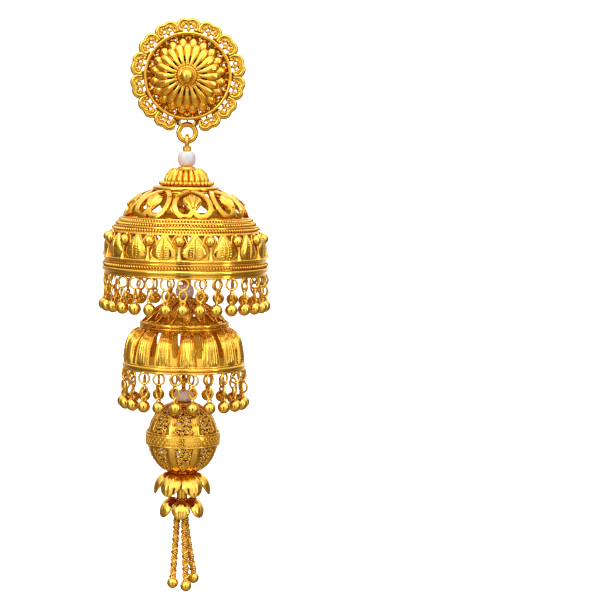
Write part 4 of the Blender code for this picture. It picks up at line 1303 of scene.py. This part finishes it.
def fringe(name, body, node, drops, radius, phase, heights, seed):
    """A fringe. Its heights are those of the holder ring, the loops, the links and the granules."""
    holder_height, loop_height, link_height, granule_height = heights
    values = {
        "Drops": drops,
        "Seed": seed,
        "Ring radius": radius,
        "Start angle": FRONT + radians(phase),
        "Loop height": loop_height,
        "Loop radius": LOOP_RADIUS,
        "Link height": link_height,
        "Link radius": LINK_RADIUS,
        "Link length": LINK_LENGTH,
        "Wire": FRINGE_WIRE,
        "Granule height": granule_height,
        "Granule radius": GRANULE_RADIUS,
    }
    drawn = made_by(FRINGE, bpy.data.meshes.new("fringe_seed"), values, smooth_gold)
    holder = Work()
    holder.wire(hoop(radius, holder_height), FRINGE_WIRE, True)
    dress(name, [drawn, holder.repeated()], smooth_gold, body, [node], crease=60)


bell_levels = [-32.68 * MM, -33.70 * MM, -35.60 * MM, -37.94 * MM]
fringe("bell_drops", "bell", "bell_fringe", 30, 13.38 * MM, 1.3, bell_levels, 4)


# Middle dome: a smaller dome of sheet gold, with pointed petals of wire and sheet above a plain ring.
# Below the ring stand fifteen panels with chased lines and open gaps between them, soldered to a plain rim.
CUP_TOP = -37.06 * MM
CUP_HEIGHT = 11.35 * MM
CUP_WIDE = 9.85 * MM
CUP_PHASE = 6.0
CUP_PANELS = 15
CUP_SHEET = 0.45 * MM
NOTCH_RUN = (1, 3)
PETAL_WIRE = 0.20 * MM
PANEL_RUN = (5, 9)
PANEL_RISE = 0.40 * MM
PANEL_LIFT = 0.04 * MM
CHASED_DEPTH = 0.05 * MM
EDGE_RISE = 0.18 * MM
EDGE_GROOVE = 0.10 * MM

cup_top = [(0.160, 0.010), (0.470, 0.145), (0.695, 0.340), (0.725, 0.378)]
cup_side = [(0.725, 0.378), (0.742, 0.415), (0.848, 0.500), (0.930, 0.605), (0.980, 0.780), (1.0, 0.930)]
cup_side += [(1.0, 0.965), (1.0, 1.0)]
cup_wall = Wall(
    [(BORE, CUP_TOP), (CUP_WIDE * 0.16, CUP_TOP - CUP_HEIGHT * 0.01)],
    *[shares(run, CUP_WIDE, CUP_TOP, CUP_HEIGHT) for run in (cup_top, cup_side)],
)
notch = [(1.0, 0.30), (0.60, 0.62), (0.34, 0.93), (1.0, 0.93)]
gap = [(1.0, 0.04), (0.70, 0.05), (0.66, 0.20), (0.68, 0.46), (0.72, 0.66), (0.82, 0.76), (1.0, 0.78)]
cup_holes = [cup_wall.along(NOTCH_RUN, notch, side) for side in (1, -1)]
cup_holes += [cup_wall.along(PANEL_RUN, gap, side) for side in (1, -1)]
cup_end = cup_wall.at(11)
cup_shell = pierced(cup_wall, CUP_PANELS, 0.0, cup_end, cup_holes, flat, CUP_SHEET, (16, 60), CUP_PHASE)
cup_spot = cup_wall.tile(CUP_PANELS)
panel_outline = [(0, 0.30), (0.05, 0.44), (0.14, 0.55), (0.35, 0.65), (0.7, 0.75), (0.95, 0.80), (1, 0.78)]


def panel_lift(t, v):
    """A convex panel with a raised edge and fine chased lines down its middle."""
    rise = table([(0, 0.2), (0.12, 0.9), (0.5, 1.0), (0.9, 0.8), (1, 0.4)], t)
    body = PANEL_RISE * (1 - abs(v) ** 2.6) * rise
    chased = table([(0, 0), (0.2, 1), (0.85, 1), (1, 0)], t)
    line = CHASED_DEPTH * cos(v * 20) * (1 if abs(v) < 0.60 else 0) * chased
    edge = EDGE_RISE * exp(-(((abs(v) - 0.84) / 0.07) ** 2))
    groove = EDGE_GROOVE * exp(-(((abs(v) - 0.66) / 0.06) ** 2))
    return PANEL_LIFT + body + line + (edge - groove)


panel = Work()
panel_ends = [cup_wall.at(*PANEL_RUN, share) for share in (0.06, 1.0)]
panel.pillow(cup_spot, *panel_ends, panel_outline, panel_lift, 0.1 * MM, 26, 44)
petal = Work()
petal_edge = [(0.78, 0.02), (0.86, 0.34), (0.60, 0.66), (0.24, 0.90), (0.0, 1.0)]
for side, points in ((1, petal_edge), (-1, petal_edge[:-1])):
    petal.wire(laid(cup_spot, cup_wall.along(NOTCH_RUN, smooth(points, 5), side), 0.12 * MM), PETAL_WIRE)
petal_spine = cup_wall.along(NOTCH_RUN, [(0, s) for s in (0.1, 0.4, 0.7)])
petal.wire(laid(cup_spot, petal_spine, 0.05 * MM), [0.16 * MM, 0.12 * MM, 0.05 * MM])
dome_rings = [
    (1, 2, 0.1, 0.1, 0.22),
    (3, 4, 0.7, 0.12, 0.42),
    (4, 5, 0.9, 0.05, 0.22),
    (9, 10, 0.0, 0.05, 0.20),
    (10, 11, 0.1, 0.1, 0.42),
]
meshes = [cup_shell, panel.repeated(CUP_PANELS, CUP_PHASE), petal.repeated(CUP_PANELS, CUP_PHASE)]
meshes += [wire_rings(cup_wall, dome_rings)]
dress("panelled_dome", meshes, worked_gold, "cup", ["cup_dome"], crease=48)
dome_levels = [-48.60 * MM, -49.62 * MM, -51.80 * MM, -54.31 * MM]
fringe("dome_drops", "cup", "cup_fringe", 22, 10.05 * MM, -4.8, dome_levels, 9)


# Filigree ball: two half balls of sheet gold, pierced to bright strips and soldered under a broad band.
# Fine curled wire and tiny granules fill the panels between the strips, and one sees through them.
BALL_RADIUS = 5.95 * MM
BALL_CENTRE = -60.41 * MM
BALL_FULLNESS = 0.8
BALL_PHASE = 4.5
BALL_DEGREES = (6.2, 14, 22, 32, 45, 57, 69, 81, 90, 99, 111, 123, 136, 148, 158, 166, 173.8)
BALL_SHEET = 0.4 * MM
STRIPS = 8
UPPER_RUN = (2, 7)
LOWER_RUN = (14, 9)
BAND_RUN = (7, 9)
BAND_RISE = 0.26 * MM
STRIP_RISE = 0.14 * MM
STRIP_GRANULE = 0.42 * MM
CURL_SIZES = [0.40 * MM, 0.33 * MM, 0.37 * MM]
CURL_SHIFTS = [0.0, 0.17 * MM, -0.12 * MM, 0.08 * MM]
CURL_ROWS = 7
CURL_POINTS = 14
CURL_WIRE = 0.115 * MM
CURL_SPACING = 0.74 * MM
BAND_REPEATS = 45
BAND_ROWS = 3
BAND_LIFT = 0.22 * MM


def ball_place(degrees):
    t = radians(degrees)
    return BALL_RADIUS * sin(t) ** BALL_FULLNESS, BALL_CENTRE + BALL_RADIUS * cos(t)


ball_wall = Wall([ball_place(degrees) for degrees in BALL_DEGREES])
opening = [(0.28, 0.08), (0.52, 0.34), (0.64, 0.66), (0.67, 0.98)]
opening = [(0.0, 0.0)] + opening + [(-a, s) for a, s in opening[::-1]]
ball_holes = [ball_wall.along(UPPER_RUN, opening), ball_wall.along(LOWER_RUN, opening[::-1])]


def band_relief(across, length):
    """The band round the middle stands proud, and each strip is slightly domed."""
    share = (length - ball_wall.at(7)) / (ball_wall.at(9) - ball_wall.at(7))
    if -0.06 < share < 1.06:
        return BAND_RISE * min(1.0, (share + 0.06) / 0.08, (1.06 - share) / 0.08)
    return STRIP_RISE * (1 - ((1 - abs(across)) / 0.32) ** 2) if abs(across) > 0.68 else 0.0


edge = ball_wall.at(16)
cells = (24, 70)
ball_shell = pierced(ball_wall, STRIPS, 0.0, edge, ball_holes, band_relief, BALL_SHEET, cells, BALL_PHASE)
filigree = Work()
ball_spot = ball_wall.tile(STRIPS)
for run in (UPPER_RUN, LOWER_RUN):
    for row in range(CURL_ROWS):
        share = 0.13 + 0.128 * row
        half = ball_wall.place(ball_wall.at(*run, share))[0] * pi / STRIPS
        wide = table([(0, 0.05), (0.10, 0.24), (0.34, 0.52), (0.66, 0.63), (1, 0.66)], share)
        count = max(1, round(2 * wide * half / CURL_SPACING))
        for k in range(count):
            across = wide * (-1 + 2 * (k + 0.5) / count)
            size = CURL_SIZES[(row + 2 * k) % 3]
            along = ball_wall.at(*run, share) + CURL_SHIFTS[(2 * row + k) % 4]
            ring = []
            for j in range(CURL_POINTS):
                turn = 2 * pi * j / 10 + row * 1.3 + k * 2.1
                shrink = size * (1.0 - 0.045 * j)
                place = (across + shrink * cos(turn) / half, along + shrink * sin(turn))
                ring.append(ball_spot(*place, -0.12 * MM))
            filigree.wire(ring, CURL_WIRE)
            if (row + k) % 2:
                filigree.bead(ball_spot(across, along, -0.08 * MM), 0.17 * MM)
strip = Work()
strip.bead(ball_spot(0.0, ball_wall.at(*UPPER_RUN, 0.34), 0.10 * MM), STRIP_GRANULE)
band = Work()
for row in range(BAND_ROWS):
    length = ball_wall.at(*BAND_RUN, 0.22 + 0.28 * row)
    shift = 4.0 * (row % 2)
    band.bead(ball_wall.spot(FRONT + radians(shift), length, BAND_LIFT), 0.13 * MM)
    loop = []
    for t in (2 * pi * j / 10 for j in range(10)):
        turn = FRONT + radians(shift + 2.8 * cos(t))
        loop.append(ball_wall.spot(turn, length + 0.30 * MM * sin(t), BAND_LIFT))
    band.wire(loop, 0.08 * MM, True)
band_rings = [(7, 9, -0.02, 0.22, 0.16), (7, 9, 1.02, 0.22, 0.16)]
mouth_rings = [(mark, mark, 0.0, 0.0, 0.26) for mark in (1, 15)]
meshes = [ball_shell, strip.repeated(STRIPS, BALL_PHASE + 180 / STRIPS, 8, 14)]
meshes += [wire_rings(ball_wall, band_rings + mouth_rings), band.repeated(BAND_REPEATS)]
dress("banded_ball", meshes, worked_gold, "ball", ["filigree_ball"], crease=48)
dress("ball_filigree", [filigree.repeated(STRIPS, BALL_PHASE, 6, 8)], smooth_gold, "ball", [], crease=70)


# Petal whorls: six leaf-shaped petals cut from one piece of sheet gold, each with a rib pressed along it.
# They are bent down round the pin under the ball, with six shorter and more cupped ones below them.
WHORL_PETALS = 6
WHORL_SHEET = 0.35 * MM


def whorl(name, node, top, radius, fall, phase, line, outline, lift):
    """A whorl whose side runs down a line of shares of its radius and fall."""
    wall = Wall([(BORE, top), (radius * 0.26, top)], [(radius * r, top - fall * z) for r, z in line])
    spot = wall.tile(WHORL_PETALS)
    end = len(wall.marks) - 1
    work = Work()
    work.pillow(spot, wall.at(1, end, 0.02), wall.at(end), outline, lift, 0.22 * MM, 26, 20)
    rib = [spot(0, wall.at(1, end, s), lift(s, 0.0)) for s in (0.10, 0.3, 0.5, 0.7, 0.86)]
    work.wire(rib, [0.10 * MM, 0.14 * MM, 0.12 * MM, 0.09 * MM, 0.04 * MM])
    hub = pierced(wall, WHORL_PETALS, 0.0, wall.at(1, end, 0.12), [], flat, WHORL_SHEET, (8, 6))
    dress(name, [work.repeated(WHORL_PETALS, phase), hub], smooth_gold, "ball", [node], crease=50)


def upper_lift(t, v):
    return MM * (0.12 + 0.55 * sin(pi * t) ** 0.8 * (1 - abs(v) ** 2.2) - 0.10 * exp(-((v / 0.12) ** 2)))


def lower_lift(t, v):
    return MM * (0.12 + 0.42 * sin(pi * t) ** 0.7 * (1 - abs(v) ** 2) - 0.16 * exp(-((v / 0.14) ** 2)) * t)


whorl(
    "upper_petal_whorl",
    "upper_petals",
    -66.51 * MM,
    4.6 * MM,
    3.5 * MM,
    30,
    [(0.26, 0.0), (0.46, 0.04), (0.68, 0.19), (0.85, 0.45), (0.95, 0.74), (1.0, 1.0)],
    [(0, 0.80), (0.12, 0.76), (0.3, 0.92), (0.5, 0.97), (0.68, 0.90), (0.85, 0.62), (0.95, 0.32), (1, 0.04)],
    upper_lift,
)
whorl(
    "lower_petal_whorl",
    "lower_petals",
    -71.01 * MM,
    3.65 * MM,
    2.75 * MM,
    0,
    [(0.26, 0.0), (0.48, 0.03), (0.72, 0.16), (0.90, 0.44), (0.98, 0.74), (1.0, 1.0)],
    [(0, 0.80), (0.12, 0.66), (0.3, 0.80), (0.5, 0.92), (0.7, 0.92), (0.88, 0.68), (0.97, 0.34), (1, 0.10)],
    lower_lift,
)


# Chains: three short rope chains of small oval links in gold wire, each one turned on from the last.
# They hang from the cap under the lower petals, and each ends in a hollow ball with a small soldered neck.
CHAIN_TOP = -72.11 * MM
CHAIN_STEPS = 24
CHAIN_TUCK = 0.3 * MM
END_BALL = 0.97 * MM
CHAIN_SIZES = {
    "Link spacing": 0.21 * MM,
    "Link radius": 0.52 * MM,
    "Wire": 0.14 * MM,
    "Link lean": radians(42),
    "Turn of each link": radians(36),
}
CHAINS = [
    # name, top (x, y) and end (x, y, fall), in millimetres
    ("left", (-0.75, -0.27), (-1.35, -0.60, 11.9)),
    ("middle", (0.40, -0.69), (0.90, -1.15, 12.3)),
    ("right", (0.40, 0.69), (2.05, 1.00, 11.3)),
]


def chain_tree():
    """Links set along a line, each turned on from the last."""
    tree, given = geometry_tree("rope_chain", [(label, "Float") for label in CHAIN_SIZES])
    line = add(tree, "GeometryNodeMeshToCurve", {"Mesh": given["Geometry"]})["Curve"]
    spaced = {"Curve": line, "Length": given["Link spacing"]}
    places = add(tree, "GeometryNodeCurveToPoints", spaced, mode="LENGTH")
    loop = {"Geometry": circle(tree, 14, given["Link radius"]), "Scale": (1.0, 0.80, 1.0)}
    oval = add(tree, "GeometryNodeTransform", loop)["Geometry"]
    swept = {"Curve": oval, "Profile Curve": circle(tree, 6, given["Wire"])}
    link = add(tree, "GeometryNodeCurveToMesh", swept)["Mesh"]
    index = add(tree, "GeometryNodeInputIndex")["Index"]
    rotation = places["Rotation"]
    turn = vector(tree, Z=times(tree, index, given["Turn of each link"]))
    for by in (turn, vector(tree, X=given["Link lean"])):
        turned_on = {"Rotation": rotation, "Rotate By": by}
        rotation = add(tree, "FunctionNodeRotateRotation", turned_on, rotation_space="LOCAL")["Rotation"]
    finish_tree(tree, copies(tree, places["Points"], link, rotation), given["Material"])
    return tree


ROPE_CHAIN = chain_tree()
for name, top, end in CHAINS:
    bm = bmesh.new()
    path = []
    for k in range(CHAIN_STEPS + 1):
        share = k / CHAIN_STEPS
        spread = share**1.4
        x = (top[0] + (end[0] - top[0]) * spread) * MM
        y = (top[1] + (end[1] - top[1]) * spread) * MM
        path.append(bm.verts.new((x, y, CHAIN_TOP + CHAIN_TUCK - (end[2] * MM + CHAIN_TUCK) * share)))
    for start, after in zip(path, path[1:]):
        bm.edges.new((start, after))
    links = made_by(ROPE_CHAIN, as_mesh(bm), CHAIN_SIZES, smooth_gold)
    dress("rope_chain_" + name, [links], smooth_gold, "ball", ["chain_" + name], crease=70)
    foot = Vector((end[0] * MM, end[1] * MM, CHAIN_TOP - end[2] * MM))
    drop = Work()
    drop.bead(foot - Vector((0, 0, END_BALL + 0.1 * MM)), END_BALL)
    drop.wire([foot + Vector((0, 0, 0.15 * MM)), foot - Vector((0, 0, 0.35 * MM))], [0.40 * MM, 0.52 * MM])
    end_ball = [drop.repeated(1, 0.0, 16, 28)]
    dress("end_ball_" + name, end_ball, smooth_gold, "ball", ["chain_ball_" + name], crease=60)
